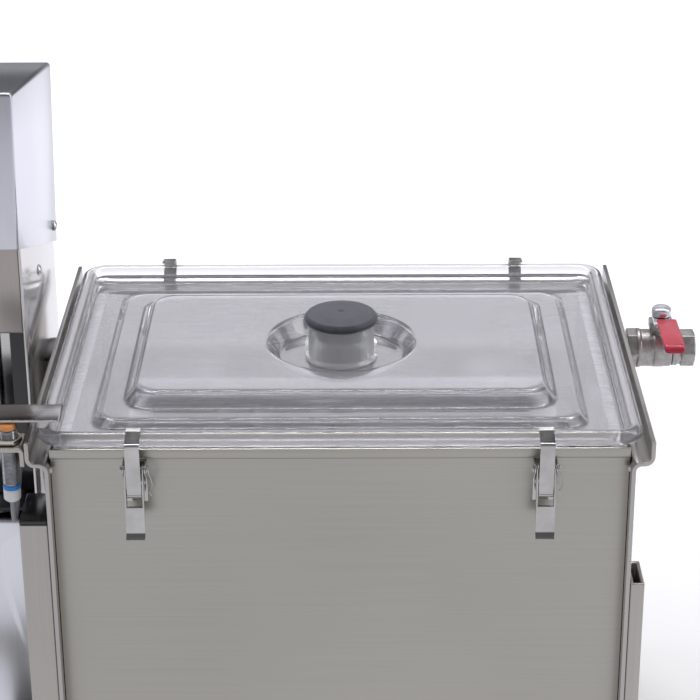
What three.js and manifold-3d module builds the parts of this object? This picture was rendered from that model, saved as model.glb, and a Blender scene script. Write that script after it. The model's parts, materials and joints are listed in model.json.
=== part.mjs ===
// Small dairy machine: a jacketed stainless vat with a clamped clear lid and a churning
// paddle, a drive column on its left and a ball valve on its right.
//
// Millimetres, +Z up, +Y to the back, +X to the right. Inside the tank group z = 0 is the
// top edge of the two end plates, and x = y = 0 is the middle of the vat. The finished
// group stands on its four feet, with the origin below the middle of its outline.
import * as THREE from 'three';
import { mergeVertices } from 'three/addons/utils/BufferGeometryUtils.js';
import Module from 'manifold-3d';

const wasm = await Module();
wasm.setup();

// ---------------------------------------------------------------- driving dimensions
// vat
const vatHalfWidth = 202.3; // outer face of an end wall
const vatHalfDepth = 153; // outer face of the front and rear walls
const vatDepth = 300; // from the rim down to the underside
const endSheet = 3;
const wallSheet = 2;
const bendRadius = 4; // inside a folded sheet
const endPlateOverhang = 9.9; // the end plates pass the front and rear walls
const lipOut = 4; // the front wall's lip steps outwards this far
const lipHeight = 8.1;
const gap = 0.35; // between pieces that touch
const wallInner = vatHalfWidth - endSheet;
const endPlateHalfDepth = vatHalfDepth + endPlateOverhang;
// lid
const lidSheet = 3;
const beadRadius = 5.7;
const beadOffset = 1.1; // the bead's middle stands outside the end wall's outer face
const beadEndGap = 2.9; // from the bead to the end plate's upright edge
const beadZ = -1;
const beadCorner = 14;
const gutterZ = -9;
const plateauZ = -3.8;
const plateauHalfWidth = vatHalfWidth - 34.3;
const plateauHalfDepth = vatHalfDepth - 38.5;
const plateauCorner = 14;
const panelZ = 5.7;
const panelHalfWidth = plateauHalfWidth - 24;
const panelHalfDepth = plateauHalfDepth - 26.5;
const panelCorner = 15;
const recessRadius = 57.3;
const recessFloorRadius = recessRadius - 10.3;
const recessFloorZ = -7.5;
const neckRadius = 24.7;
const neckWall = 3;
const neckTop = 20.5;
const capRadius = neckRadius + 2.6;
const capHeight = 8;
const plugRadius = neckRadius - neckWall - 1.7;
const plugLength = 13;
// the vat's edges under the bead
const joggleOut = beadOffset + beadRadius + beadEndGap + endSheet; // an end plate steps outwards this far
const joggleUp = 15.3; // height of its upright edge
const lipTop = beadZ - beadRadius - 0.5;
const lipBottom = lipTop - lipHeight;
const uprightOuter = vatHalfWidth + joggleOut;
// trough, inside the jacket
const jacketEndGap = 9.3;
const jacketSideGap = 9.5;
const jacketBottomGap = 6.5;
const troughSheet = 1.5;
const troughFlangeTop = lipBottom + 0.3;
const troughHalfWidth = wallInner - jacketEndGap;
const troughHalfDepth = vatHalfDepth - wallSheet - jacketSideGap;
const paddleAxisZ = -vatDepth + wallSheet + jacketBottomGap + troughHalfDepth;
const bladeClearance = 22;
// latches
const latchInset = 61.5; // from an end wall's outer face
const latchSpacing = 2 * (vatHalfWidth - latchInset);
const strapWidth = 10.2;
const strapSheet = 1.2;
const strapReach = 18.5; // how far the strap stands out of the wall at its bend
const strapDrop = 3; // the strap's flat top falls this much on its way out
const pivotOut = 9.5;
const pivotZ = -19.5;
const strapPinOut = 11.5;
const strapPinZ = -37;
const pinRadius = 1.5;
const handleEnd = -66;
// ball valve
const valveY = 66;
const valveZ = -31;
const valveFlats = 27;
const valveBarrelRadius = 14.6;
const valveBore = 7;
const valveStandoff = 6.5; // from the end plate's upright edge to the body's hexagon
const ballRadius = 9.6;
const leverLength = 57.5;
const leverWidth = 15;
const leverOffset = 2.8; // the grip lies beside the line of the stem
// drive column
const columnGap = 25.7; // from the vat wall to the column's near cheek
const columnWidth = 150;
const columnFront = -40;
const columnBack = 125;
const columnTop = 107;
const columnSheet = 2;
const windowTop = 28;
const windowBottom = paddleAxisZ + 25;
const hoodSheet = 1.2;
const hoodFront = columnFront - 18; // its lower front edge
const hoodBack = columnBack + 7; // its lower back edge
const hoodLowFront = columnTop - 6;
const hoodLowBack = columnTop - 72.5;
const hoodTop = columnTop + 103; // at the front
const hoodLean = 10; // degrees, leaning back
const shaftRadius = 10;
const driveShaftInset = 36; // from the near cheek to the drive shaft's axis
// lid sensor
const sensorX = -(uprightOuter + 12);
const sensorY = -(endPlateHalfDepth - 11.9);
const sensorRadius = 6;
const flagZ = 12;
// frame
const railSize = 25;
const postWidth = 19.5;
const postDepth = 42;
const leftPostTop = -64;
const rightPostTop = -112;
const rightPostWidth = 10;
const rightPostDepth = 33;
const capThickness = 3;
const footRadius = 17;
const footHeight = 26;

// ---------------------------------------------------------------- materials
function finish(colour, roughness, metalness) {
  return () => new THREE.MeshStandardMaterial({ color: colour, roughness, metalness });
}
const brushedSteel = finish(0xa8a6a0, 0.38, 0.9);
const polishedSteel = finish(0xd4d6da, 0.15, 1);
const latchSteel = finish(0xb9b8b2, 0.25, 0.95);
const nickelBrass = finish(0xc2bfb8, 0.3, 0.9);
const clearPlastic = finish(0xc9c6d4, 0.08, 0);
const blackRubber = finish(0x3a3c3e, 0.7, 0);
const blackPlastic = finish(0x151515, 0.25, 0);
const redVinyl = finish(0xc01828, 0.35, 0);
const orangePlastic = finish(0xe8923c, 0.45, 0);
const whitePlastic = finish(0xe9edf0, 0.45, 0);
const greyCable = finish(0x9a9c9e, 0.6, 0);
const motorPaint = finish(0x2b2d30, 0.5, 0.4);

// ---------------------------------------------------------------- geometry helpers
function pulled(shape, depth) {
  return new THREE.ExtrudeGeometry(shape, { depth, bevelEnabled: false, curveSegments: 6 });
}

// A section drawn in (y, z) and pulled along x from x0 to x1.
function alongX(shape, x0, x1) {
  const axes = new THREE.Matrix4().makeBasis(
    new THREE.Vector3(0, 1, 0), new THREE.Vector3(0, 0, 1), new THREE.Vector3(1, 0, 0));
  return pulled(shape, x1 - x0).applyMatrix4(axes).translate(x0, 0, 0);
}

// A section drawn in (x, z) and pulled along y from y0 to y1.
function alongY(shape, y0, y1) {
  const axes = new THREE.Matrix4().makeBasis(
    new THREE.Vector3(1, 0, 0), new THREE.Vector3(0, 0, 1), new THREE.Vector3(0, -1, 0));
  return pulled(shape, y1 - y0).applyMatrix4(axes).translate(0, y1, 0);
}

// A section drawn in (x, y) and pulled up from z0 to z1.
function alongZ(shape, z0, z1) {
  return pulled(shape, z1 - z0).translate(0, 0, z0);
}

function box(x0, x1, y0, y1, z0, z1) {
  const geometry = new THREE.BoxGeometry(x1 - x0, y1 - y0, z1 - z0);
  return geometry.translate((x0 + x1) / 2, (y0 + y1) / 2, (z0 + z1) / 2);
}

// A solid turned about the z axis from (radius, z) pairs.
function turned(profile, segments = 24) {
  const points = profile.map(([radius, z]) => new THREE.Vector2(radius, z));
  return new THREE.LatheGeometry(points, segments).rotateX(Math.PI / 2);
}

// A ring profile closed on itself, for a tube.
function tube(outer, inner, z0, z1, segments = 32) {
  return turned([[inner, z0], [outer, z0], [outer, z1], [inner, z1], [inner, z0]], segments);
}

function rod(radius, z0, z1, segments = 24) {
  return turned([[0, z0], [radius, z0], [radius, z1], [0, z1]], segments);
}

function hexBar(flats, z0, z1) {
  const geometry = new THREE.CylinderGeometry(flats / Math.sqrt(3), flats / Math.sqrt(3), z1 - z0, 6);
  return geometry.rotateX(Math.PI / 2).translate(0, 0, (z0 + z1) / 2);
}

// Turns a solid made along z so that it lies along x.
function layAlongX(geometry) {
  return geometry.rotateY(Math.PI / 2);
}

const bendStep = 0.2; // radians for each facet of a bend

// The outline of a folded sheet: its centre line with rounded bends, thickened evenly.
function foldedSheet(corners, sheet, innerRadius = bendRadius) {
  const radius = innerRadius + sheet / 2;
  const line = [];
  const points = corners.map(([u, v]) => new THREE.Vector2(u, v));
  points.forEach((corner, i) => {
    const before = points[i - 1];
    const after = points[i + 1];
    if (!before || !after) {
      const direction = (before ? corner.clone().sub(before) : after.clone().sub(corner)).normalize();
      line.push({ at: corner, direction });
      return;
    }
    const inward = corner.clone().sub(before).normalize();
    const outward = after.clone().sub(corner).normalize();
    const turn = Math.atan2(inward.cross(outward), inward.dot(outward));
    const setback = radius * Math.tan(Math.abs(turn) / 2);
    const start = corner.clone().addScaledVector(inward, -setback);
    const side = new THREE.Vector2(-inward.y, inward.x).multiplyScalar(Math.sign(turn));
    const centre = start.clone().addScaledVector(side, radius);
    const steps = Math.max(2, Math.ceil(Math.abs(turn) / bendStep));
    for (let step = 0; step <= steps; step += 1) {
      const angle = (turn * step) / steps;
      line.push({
        at: start.clone().sub(centre).rotateAround(new THREE.Vector2(), angle).add(centre),
        direction: inward.clone().rotateAround(new THREE.Vector2(), angle),
      });
    }
  });
  const offset = (side) => line.map(({ at, direction }) => new THREE.Vector2(
    at.x - direction.y * side * sheet / 2, at.y + direction.x * side * sheet / 2));
  return new THREE.Shape([...offset(-1), ...offset(1).reverse()]);
}

function rectangle(u0, u1, v0, v1) {
  return new THREE.Shape([
    new THREE.Vector2(u0, v0), new THREE.Vector2(u1, v0),
    new THREE.Vector2(u1, v1), new THREE.Vector2(u0, v1)]);
}

function solid(geometry) {
  const bare = geometry.clone();
  bare.deleteAttribute('normal');
  bare.deleteAttribute('uv');
  const merged = mergeVertices(bare, 1e-4);
  return new wasm.Manifold(new wasm.Mesh({
    numProp: 3,
    vertProperties: new Float32Array(merged.attributes.position.array),
    triVerts: new Uint32Array(merged.index.array),
  }));
}

function fromSolid(manifold) {
  const mesh = manifold.getMesh();
  const geometry = new THREE.BufferGeometry();
  geometry.setAttribute('position', new THREE.BufferAttribute(mesh.vertProperties, 3));
  geometry.setIndex(new THREE.BufferAttribute(mesh.triVerts, 1));
  const flat = geometry.toNonIndexed();
  flat.computeVertexNormals();
  return flat;
}

// Joins the first list of geometries and cuts the second list out of them.
function carve(joined, cuts = []) {
  let result = solid(joined[0]);
  joined.slice(1).forEach((geometry) => { result = result.add(solid(geometry)); });
  cuts.forEach((geometry) => { result = result.subtract(solid(geometry)); });
  return fromSolid(result);
}

function piece(name, geometry, material) {
  const mesh = new THREE.Mesh(geometry, material());
  mesh.name = name;
  return mesh;
}

// ---------------------------------------------------------------- vat
const nippleRadius = 10.3;

// A folded end plate: the wall, a step outwards and an upright edge beside the lid.
function endPlate(side) {
  const wall = vatHalfWidth - endSheet / 2;
  const upright = uprightOuter - endSheet / 2;
  const shelf = -joggleUp - endSheet / 2;
  const section = foldedSheet([
    [side * wall, -vatDepth], [side * wall, shelf], [side * upright, shelf], [side * upright, 0]], endSheet);
  const plate = alongY(section, -endPlateHalfDepth, endPlateHalfDepth);
  const hole = side > 0
    ? layAlongX(rod(nippleRadius + gap, -20, 20)).translate(vatHalfWidth, valveY, valveZ)
    : layAlongX(rod(shaftRadius + 2, -20, 20)).translate(-vatHalfWidth, 0, paddleAxisZ);
  return carve([plate], [hole]);
}

// The front or rear wall, with its lip stepped outwards under the lid's bead.
function longWall(side) {
  const wall = side * (vatHalfDepth - wallSheet / 2);
  const lip = side * (vatHalfDepth + lipOut - wallSheet / 2);
  const section = foldedSheet([
    [wall, -vatDepth], [wall, lipBottom + wallSheet / 2], [lip, lipBottom + wallSheet / 2], [lip, lipTop]],
  wallSheet, 0.6);
  return alongX(section, -wallInner + gap, wallInner - gap);
}

// The half-round trough that holds the milk, with a flange resting inside the walls.
function trough() {
  const section = (half, top) => {
    const shape = new THREE.Shape();
    shape.moveTo(-half, top);
    shape.lineTo(-half, paddleAxisZ);
    shape.absarc(0, paddleAxisZ, half, Math.PI, 2 * Math.PI, false);
    shape.lineTo(half, top);
    shape.closePath();
    return shape;
  };
  const outline = (shape, x0, x1) => {
    const points = shape.getPoints(14);
    return alongX(new THREE.Shape(points), x0, x1);
  };
  const outer = outline(section(troughHalfDepth, troughFlangeTop), -troughHalfWidth, troughHalfWidth);
  const inner = outline(section(troughHalfDepth - troughSheet, troughFlangeTop + 5),
    -troughHalfWidth + troughSheet, troughHalfWidth - troughSheet);
  const flange = box(-wallInner + gap, wallInner - gap,
    -vatHalfDepth + wallSheet + gap, vatHalfDepth - wallSheet - gap,
    troughFlangeTop - troughSheet, troughFlangeTop);
  const shaftHole = layAlongX(rod(shaftRadius + 1, -10, 10)).translate(-troughHalfWidth, 0, paddleAxisZ);
  return carve([outer, flange], [inner, shaftHole]);
}

const shaftSealRadius = 24;
const shaftSealLength = 12;
const troughInside = troughHalfWidth - troughSheet;

function addVat(group) {
  group.add(piece('end_plate_left', endPlate(-1), brushedSteel));
  group.add(piece('end_plate_right', endPlate(1), brushedSteel));
  group.add(piece('vat_front_wall', longWall(-1), brushedSteel));
  group.add(piece('vat_rear_wall', longWall(1), brushedSteel));
  group.add(piece('vat_outer_bottom', box(-wallInner + gap, wallInner - gap,
    -vatHalfDepth + wallSheet + gap, vatHalfDepth - wallSheet - gap, -vatDepth, -vatDepth + wallSheet),
  brushedSteel));
  group.add(piece('milk_trough', trough(), brushedSteel));
  const seal = layAlongX(tube(shaftSealRadius, shaftRadius + gap, 0, shaftSealLength));
  group.add(piece('shaft_seal', seal.translate(-troughInside + gap, 0, paddleAxisZ), blackRubber));
  const bearing = carve([layAlongX(rod(shaftSealRadius, 0, shaftSealLength))],
    [layAlongX(rod(shaftRadius + gap, -1, shaftSealLength - 2))]);
  group.add(piece('paddle_bearing',
    bearing.translate(troughInside - gap - shaftSealLength, 0, paddleAxisZ), whitePlastic));
}

// ---------------------------------------------------------------- lid
const cornerPoints = 7;

// One ring of the lid's surface: a rounded rectangle, or a circle when round is true.
function lidRing(halfX, halfY, radius, z, round = false) {
  const points = [];
  const corners = [[1, 1, 0], [-1, 1, 1], [-1, -1, 2], [1, -1, 3]];
  corners.forEach(([signX, signY, quarter]) => {
    for (let i = 0; i < cornerPoints; i += 1) {
      const share = round ? (i + 0.5) / cornerPoints : i / (cornerPoints - 1);
      const angle = (quarter + share) * Math.PI / 2;
      points.push(new THREE.Vector3(
        signX * (halfX - radius) + radius * Math.cos(angle),
        signY * (halfY - radius) + radius * Math.sin(angle), z));
    }
  });
  return points;
}

function circleRing(radius, z) {
  return lidRing(radius, radius, radius, z, true);
}

// Skins a closed loop of rings, each joined to the next and the last to the first.
function skin(rings) {
  const count = rings[0].length;
  const positions = rings.flat().flatMap((point) => [point.x, point.y, point.z]);
  const index = [];
  rings.forEach((ring, i) => {
    const next = ((i + 1) % rings.length) * count;
    const here = i * count;
    for (let j = 0; j < count; j += 1) {
      const k = (j + 1) % count;
      index.push(here + j, next + j, next + k, here + j, next + k, here + k);
    }
  });
  const geometry = new THREE.BufferGeometry();
  geometry.setAttribute('position', new THREE.Float32BufferAttribute(positions, 3));
  geometry.setIndex(index);
  const flat = geometry.toNonIndexed();
  flat.computeVertexNormals();
  return flat;
}

const beadHalfWidth = vatHalfWidth + beadOffset;
const beadHalfDepth = vatHalfDepth;
const slopeRun = 10; // the raised panel's sloping wall, measured level
const gutterRun = 6.5;

// The clear lid: a sunk recess in a raised panel, a plateau, a gutter and a round bead.
function lid() {
  const sheetRings = [
    circleRing(neckRadius - neckWall, recessFloorZ),
    circleRing(recessFloorRadius - 3, recessFloorZ),
    circleRing(recessFloorRadius, recessFloorZ + 1),
    circleRing(recessRadius - 2.5, panelZ - 1),
    circleRing(recessRadius, panelZ),
    lidRing(panelHalfWidth, panelHalfDepth, panelCorner, panelZ),
    lidRing(panelHalfWidth + 2.5, panelHalfDepth + 2.5, panelCorner + 2, panelZ - 1.2),
    lidRing(panelHalfWidth + slopeRun, panelHalfDepth + slopeRun + 2, panelCorner + 6, plateauZ + 0.8),
    lidRing(panelHalfWidth + slopeRun + 1.5, panelHalfDepth + slopeRun + 3.5, panelCorner + 7, plateauZ),
    lidRing(plateauHalfWidth, plateauHalfDepth, plateauCorner, plateauZ),
    lidRing(plateauHalfWidth + 1.5, plateauHalfDepth + 1.5, plateauCorner, plateauZ - 0.7),
    lidRing(plateauHalfWidth + gutterRun, plateauHalfDepth + gutterRun, plateauCorner, gutterZ),
    lidRing(beadHalfWidth - beadRadius - 5, beadHalfDepth - beadRadius - 5, beadCorner, gutterZ),
  ];
  const beadRings = [];
  const beadSteps = 12;
  for (let step = 0; step <= beadSteps; step += 1) {
    const angle = THREE.MathUtils.degToRad(195 - (290 * step) / beadSteps);
    const out = beadRadius * Math.cos(angle);
    beadRings.push(lidRing(beadHalfWidth + out, beadHalfDepth + out, beadCorner + out,
      beadZ + beadRadius * Math.sin(angle)));
  }
  const under = sheetRings.map((ring) => ring.map((point) => point.clone().setZ(point.z - lidSheet)));
  under[under.length - 1].forEach((point) => point.setZ(gutterZ - lidSheet + 0.4));
  return skin([...sheetRings, ...beadRings, ...under.reverse()]);
}

// The strip over the lid sensor: a folded plate on a block that sits on the lid's bead.
function sensorFlag() {
  const beadTop = beadZ + beadRadius + gap;
  const strip = foldedSheet([
    [sensorX - 19, flagZ + 0.75], [-uprightOuter + 23.5, flagZ + 0.75], [-uprightOuter + 23.5, beadTop]],
  1.5, 1);
  const block = box(-beadHalfWidth - 4.5, -beadHalfWidth + 4.5, sensorY + 3, sensorY + 21,
    beadTop, flagZ + 0.5);
  return carve([alongY(strip, sensorY - 2.5, sensorY + 23.5), block]);
}

function addLid(group) {
  group.add(piece('clear_lid', lid(), clearPlastic));
  group.add(piece('lid_neck',
    tube(neckRadius, neckRadius - neckWall, recessFloorZ + gap, neckTop, 28), clearPlastic));
  const capBottom = neckTop + gap;
  const plugBottom = capBottom - plugLength;
  const stopper = turned([
    [0, plugBottom], [plugRadius - 1.5, plugBottom], [plugRadius, plugBottom + 1.5], [plugRadius, capBottom],
    [capRadius - 1.2, capBottom], [capRadius, capBottom + 1.5],
    [capRadius, capBottom + 4.5], [capRadius - 2, capBottom + 6.6], [capRadius - 9, capBottom + capHeight],
    [3, capBottom + capHeight], [1.5, capBottom + capHeight - 0.8], [0, capBottom + capHeight - 0.8]], 28);
  group.add(piece('rubber_stopper', stopper, blackRubber));
  group.add(piece('sensor_flag', sensorFlag(), brushedSteel));
}

// ---------------------------------------------------------------- latches
const railInner = strapWidth / 2 + 0.4;
const railOuter = railInner + 1.1;
const earInner = railOuter + 0.4;
const earOuter = earInner + 1.1;
const headInner = earOuter + gap;
const headOuter = headInner + 1;
const plateTop = pivotZ + 3.5;
const strapTop = beadZ + beadRadius + 0.4; // underside of the strap over the bead

// All latch sections are drawn in (out, z): out is the distance in front of the wall.
function crossBar(shape, halfWidth) {
  return alongX(shape, -halfWidth, halfWidth);
}

function pair(shape, inner, outer) {
  return [alongX(shape, inner, outer), alongX(shape, -outer, -inner)];
}

function disc(out, z, radius, points = 16) {
  const shape = new THREE.Shape();
  for (let i = 0; i < points; i += 1) {
    const angle = (2 * Math.PI * i) / points;
    const at = [out + radius * Math.cos(angle), z + radius * Math.sin(angle)];
    if (i === 0) shape.moveTo(...at);
    else shape.lineTo(...at);
  }
  return shape;
}

// The base plate on the wall, with two ears that carry the pivot pin.
function latchBase() {
  const plate = crossBar(rectangle(gap, 1.5, handleEnd + 18, plateTop), earOuter);
  const earShape = new THREE.Shape([
    new THREE.Vector2(1, plateTop), new THREE.Vector2(1, pivotZ - 12),
    new THREE.Vector2(pivotOut + 1, pivotZ - 4), new THREE.Vector2(pivotOut + 3.4, pivotZ - 1.5),
    new THREE.Vector2(pivotOut + 3.4, pivotZ + 1.5), new THREE.Vector2(pivotOut + 1, plateTop)]);
  return carve([plate, ...pair(earShape, earInner, earOuter)],
    [crossBar(disc(pivotOut, pivotZ, pinRadius + 0.3), earOuter + 1)]);
}

// The lever: two side rails from the pivot to a flat handle, and the pin that pulls the strap.
function latchLever() {
  const railShape = new THREE.Shape([
    new THREE.Vector2(pivotOut - 3.4, pivotZ + 1.5), new THREE.Vector2(pivotOut - 1.5, pivotZ + 3.4),
    new THREE.Vector2(pivotOut + 1.5, pivotZ + 3.4), new THREE.Vector2(pivotOut + 3.4, pivotZ + 1.5),
    new THREE.Vector2(strapPinOut + 4, strapPinZ + 4), new THREE.Vector2(strapPinOut + 4, handleEnd + 6),
    new THREE.Vector2(strapPinOut + 2.2, handleEnd + 6), new THREE.Vector2(strapPinOut - 3, strapPinZ - 8),
    new THREE.Vector2(strapPinOut - 3.2, strapPinZ), new THREE.Vector2(pivotOut - 3.4, pivotZ - 2)]);
  const handle = foldedSheet([
    [strapPinOut + 3.4, strapPinZ - 9], [strapPinOut + 3.4, handleEnd],
    [strapPinOut + 7.5, handleEnd - 3.5]], strapSheet, 1.5);
  const bridge = rectangle(strapPinOut + 1.2, strapPinOut + 3.2, strapPinZ - 12.5, strapPinZ - 9.2);
  return carve([
    ...pair(railShape, railInner, railOuter),
    crossBar(handle, railOuter), crossBar(bridge, railOuter),
    crossBar(disc(strapPinOut, strapPinZ, pinRadius), railOuter)],
  [crossBar(disc(pivotOut, pivotZ, pinRadius + 0.3), railOuter + 1)]);
}

// The strap: an eye on the lever's pin, a leaning leg and a sloping hook over the lid's bead.
function latchStrap() {
  const eyeRadius = pinRadius + 0.35 + strapSheet;
  const band = foldedSheet([
    [0.2, strapTop + strapSheet / 2 + 1.3], [2.2, strapTop + strapSheet / 2],
    [strapReach, strapTop + strapSheet / 2 - strapDrop],
    [strapPinOut + eyeRadius - strapSheet / 2, strapPinZ]],
  strapSheet, 1.2);
  const eye = disc(strapPinOut, strapPinZ, eyeRadius, 20);
  const eyeHole = disc(strapPinOut, strapPinZ, pinRadius + 0.35, 16);
  return carve([crossBar(band, strapWidth / 2), crossBar(eye, strapWidth / 2)],
    [crossBar(eyeHole, strapWidth)]);
}

function latchPin() {
  const shank = layAlongX(rod(pinRadius, -headInner - 0.5, headInner + 0.5, 12));
  const heads = [1, -1].map((side) => layAlongX(rod(pinRadius + 1.1, -0.5, 0.5, 12))
    .translate(side * (headInner + headOuter) / 2, 0, 0));
  return carve([shank, ...heads]).translate(0, pivotOut, pivotZ);
}

// Each latch is drawn facing +y, then turned to face its own side of the vat.
function addLatches(group) {
  const parts = { base: latchBase(), lever: latchLever(), strap: latchStrap(), pin: latchPin() };
  [['front', -1], ['rear', 1]].forEach(([sideName, sideY]) => {
    [['left', -1], ['right', 1]].forEach(([endName, sideX]) => {
      const holder = new THREE.Group();
      holder.position.set(sideX * latchSpacing / 2, sideY * vatHalfDepth, 0);
      holder.rotation.z = sideY < 0 ? Math.PI : 0;
      Object.entries(parts).forEach(([kind, geometry]) => {
        holder.add(piece(`latch_${kind}_${sideName}_${endName}`, geometry.clone(), latchSteel));
      });
      group.add(holder);
    });
  });
}

// ---------------------------------------------------------------- ball valve
// Drawn along x in its own frame, with the ball's centre at the origin.
const hexStart = -26;
const ballX = uprightOuter + valveStandoff - hexStart; // ball centre from the middle of the vat
const nippleStart = wallInner - 4 - ballX;
const barrelStart = -18;
const joint = 8.5; // where the end piece screws into the body
const valveEnd = 26.5;
const stemRadius = 3;
const neckTopZ = 16.5;
const leverZ = 25;
const packingFlats = 18;
const nutRadius = 7.6;

function valveBody() {
  const barrel = layAlongX(turned([
    [0, hexStart], [12.5, hexStart], [12.5, barrelStart], [15.2, barrelStart], [15.2, barrelStart + 1.6],
    [valveBarrelRadius, barrelStart + 2.2], [valveBarrelRadius, joint], [0, joint]], 24));
  const hex = layAlongX(hexBar(valveFlats, hexStart, barrelStart + 0.8));
  const neck = rod(7.6, 5, neckTopZ);
  return carve([barrel, hex, neck], [
    layAlongX(rod(valveBore, hexStart - 1, joint + 1)),
    layAlongX(rod(nippleRadius + 0.3, hexStart - 1, hexStart + 8)),
    new THREE.SphereGeometry(ballRadius + 0.5, 12, 8).rotateX(Math.PI / 2),
    layAlongX(rod(ballRadius + 0.5, 0, joint + 1)),
    rod(stemRadius + gap, 0, neckTopZ + 1),
  ]);
}

function valveEndPiece() {
  const start = joint + gap;
  const outside = layAlongX(turned([
    [0, start], [valveBarrelRadius - 1, start], [valveBarrelRadius - 1, 12], [12.2, 14.5], [12.2, valveEnd],
    [0, valveEnd]], 24));
  const hex = layAlongX(hexBar(valveFlats - 1.5, 15.5, valveEnd));
  return carve([outside, hex], [
    layAlongX(rod(valveBore, 0, valveEnd + 1)),
    layAlongX(rod(9.3, valveEnd - 12, valveEnd + 1)),
    new THREE.SphereGeometry(ballRadius + 0.5, 12, 8).rotateX(Math.PI / 2)]);
}

const leverSheet = 2.4;
const leverHub = 7.6;
const stemTop = leverZ + 7.5;

// The lever closes the valve across the pipe, so it points at the front of the vat.
function leverPlate() {
  const outline = new THREE.Shape();
  const half = leverWidth / 2;
  const corner = 3;
  outline.moveTo(leverOffset - half, 0);
  outline.lineTo(leverOffset + half, 0);
  outline.lineTo(leverOffset + half, -leverLength + corner);
  outline.absarc(leverOffset + half - corner, -leverLength + corner, corner, 0, -Math.PI / 2, true);
  outline.absarc(leverOffset - half + corner, -leverLength + corner, corner, -Math.PI / 2, -Math.PI, true);
  outline.closePath();
  const grip = alongZ(new THREE.Shape(outline.getPoints(6)), leverZ, leverZ + leverSheet);
  const lip = alongX(foldedSheet([
    [-leverLength + 9, leverZ + leverSheet / 2], [-leverLength + 2, leverZ + leverSheet / 2],
    [-leverLength - 1.6, leverZ - 2.4]], leverSheet, 2), leverOffset - half + 0.6, leverOffset + half - 0.6);
  return carve([rod(leverHub, leverZ, leverZ + leverSheet), grip, lip],
    [rod(stemRadius + gap, leverZ - 5, leverZ + 5)]);
}

function addValve(group) {
  const valve = new THREE.Group();
  valve.position.set(ballX, valveY, valveZ);
  const nipple = layAlongX(tube(nippleRadius, valveBore, nippleStart, hexStart + 7, 32));
  valve.add(piece('valve_nipple', nipple, polishedSteel));
  valve.add(piece('valve_body', valveBody(), nickelBrass));
  valve.add(piece('valve_end_piece', valveEndPiece(), nickelBrass));
  const ball = new THREE.SphereGeometry(ballRadius, 20, 12).rotateX(Math.PI / 2);
  const bore = new THREE.CylinderGeometry(valveBore - 0.5, valveBore - 0.5, 30, 24);
  valve.add(piece('valve_ball_and_stem', carve([ball, rod(stemRadius, 0, stemTop)], [bore]), polishedSteel));
  const packing = carve([
    hexBar(packingFlats, neckTopZ + gap, leverZ - 1.5),
    rod(6.2, leverZ - 2, leverZ - gap)], [rod(stemRadius + gap, 0, leverZ + 5)]);
  valve.add(piece('valve_packing_nut', packing, nickelBrass));
  valve.add(piece('valve_lever', leverPlate(), redVinyl));
  const nutBottom = leverZ + leverSheet + gap;
  const nut = carve([turned([
    [0, nutBottom], [nutRadius, nutBottom], [nutRadius, nutBottom + 4.6], [nutRadius - 1, nutBottom + 6.4],
    [3, nutBottom + 7.4], [0, nutBottom + 7.4]], 24)], [rod(stemRadius + gap, nutBottom - 1, stemTop + gap)]);
  valve.add(piece('valve_lever_nut', nut, polishedSteel));
  group.add(valve);
}

// ---------------------------------------------------------------- drive column
const cheekX = -(vatHalfWidth + columnGap); // outer face of the cheek beside the vat
const farCheekX = cheekX - columnWidth;
const driveShaftX = cheekX - driveShaftInset;
const railTop = -vatDepth - gap;
const columnBottom = railTop + gap;
const gearboxHalf = driveShaftInset - columnSheet - 2;
const motorHalf = driveShaftInset - columnSheet - 6;
const motorBottom = windowTop + 12;
const spigotRadius = 7; // the shafts' ends inside the gears
const ductWidth = 15;
const ductX = cheekX - columnSheet - 1 - ductWidth / 2;
const ductFront = -8;
const glandZ = paddleAxisZ + gearboxHalf + 40;

// The column: a folded channel, open to the front.
function columnShell() {
  const half = columnSheet / 2;
  const section = foldedSheet([
    [farCheekX + half, columnFront], [farCheekX + half, columnBack - half],
    [cheekX - half, columnBack - half], [cheekX - half, columnFront]], columnSheet, 2);
  const shaftHole = layAlongX(rod(shaftRadius + 4, -20, 20)).translate(cheekX, 0, paddleAxisZ);
  return carve([alongZ(section, columnBottom, columnTop)], [shaftHole]);
}

// A cover plate between the cheeks, with a flange turned back at the window.
function frontCover(freeEnd, windowEnd, flangeDepth) {
  const half = columnSheet / 2;
  const edge = windowEnd > freeEnd ? windowEnd - half : windowEnd + half;
  const section = foldedSheet([
    [columnFront + half, freeEnd], [columnFront + half, edge], [columnFront + half + flangeDepth, edge]],
  columnSheet, 1);
  return alongX(section, farCheekX + columnSheet + gap, cheekX - columnSheet - gap);
}

// The hood's side outline, moved inwards by an inset and left open below for the hollow.
function hoodOutline(inset, drop) {
  const lean = Math.tan(THREE.MathUtils.degToRad(hoodLean));
  const top = hoodTop - inset;
  const frontEdge = (z) => hoodFront + inset + (z - hoodLowFront) * lean;
  const backEdge = (z) => hoodBack - inset + (z - hoodLowBack) * lean;
  const backTop = top - (backEdge(hoodTop) - frontEdge(hoodTop)) * lean;
  return new THREE.Shape([
    new THREE.Vector2(frontEdge(hoodLowFront - drop), hoodLowFront - drop),
    new THREE.Vector2(backEdge(hoodLowBack - drop), hoodLowBack - drop),
    new THREE.Vector2(backEdge(backTop), backTop),
    new THREE.Vector2(frontEdge(top), top)]);
}

const hoodSide = cheekX + hoodSheet + gap; // outer face of the hood beside the vat
const hoodFarSide = farCheekX - hoodSheet - gap;

function driveHood() {
  return carve([alongX(hoodOutline(0, 0), hoodFarSide, hoodSide)],
    [alongX(hoodOutline(hoodSheet, 4), hoodFarSide + hoodSheet, hoodSide - hoodSheet)]);
}

const coneGap = 0.5;
const gearOuter = 21;
const gearInner = 11;
const gearBack = 6;
const coneShift = coneGap / Math.SQRT2;

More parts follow.
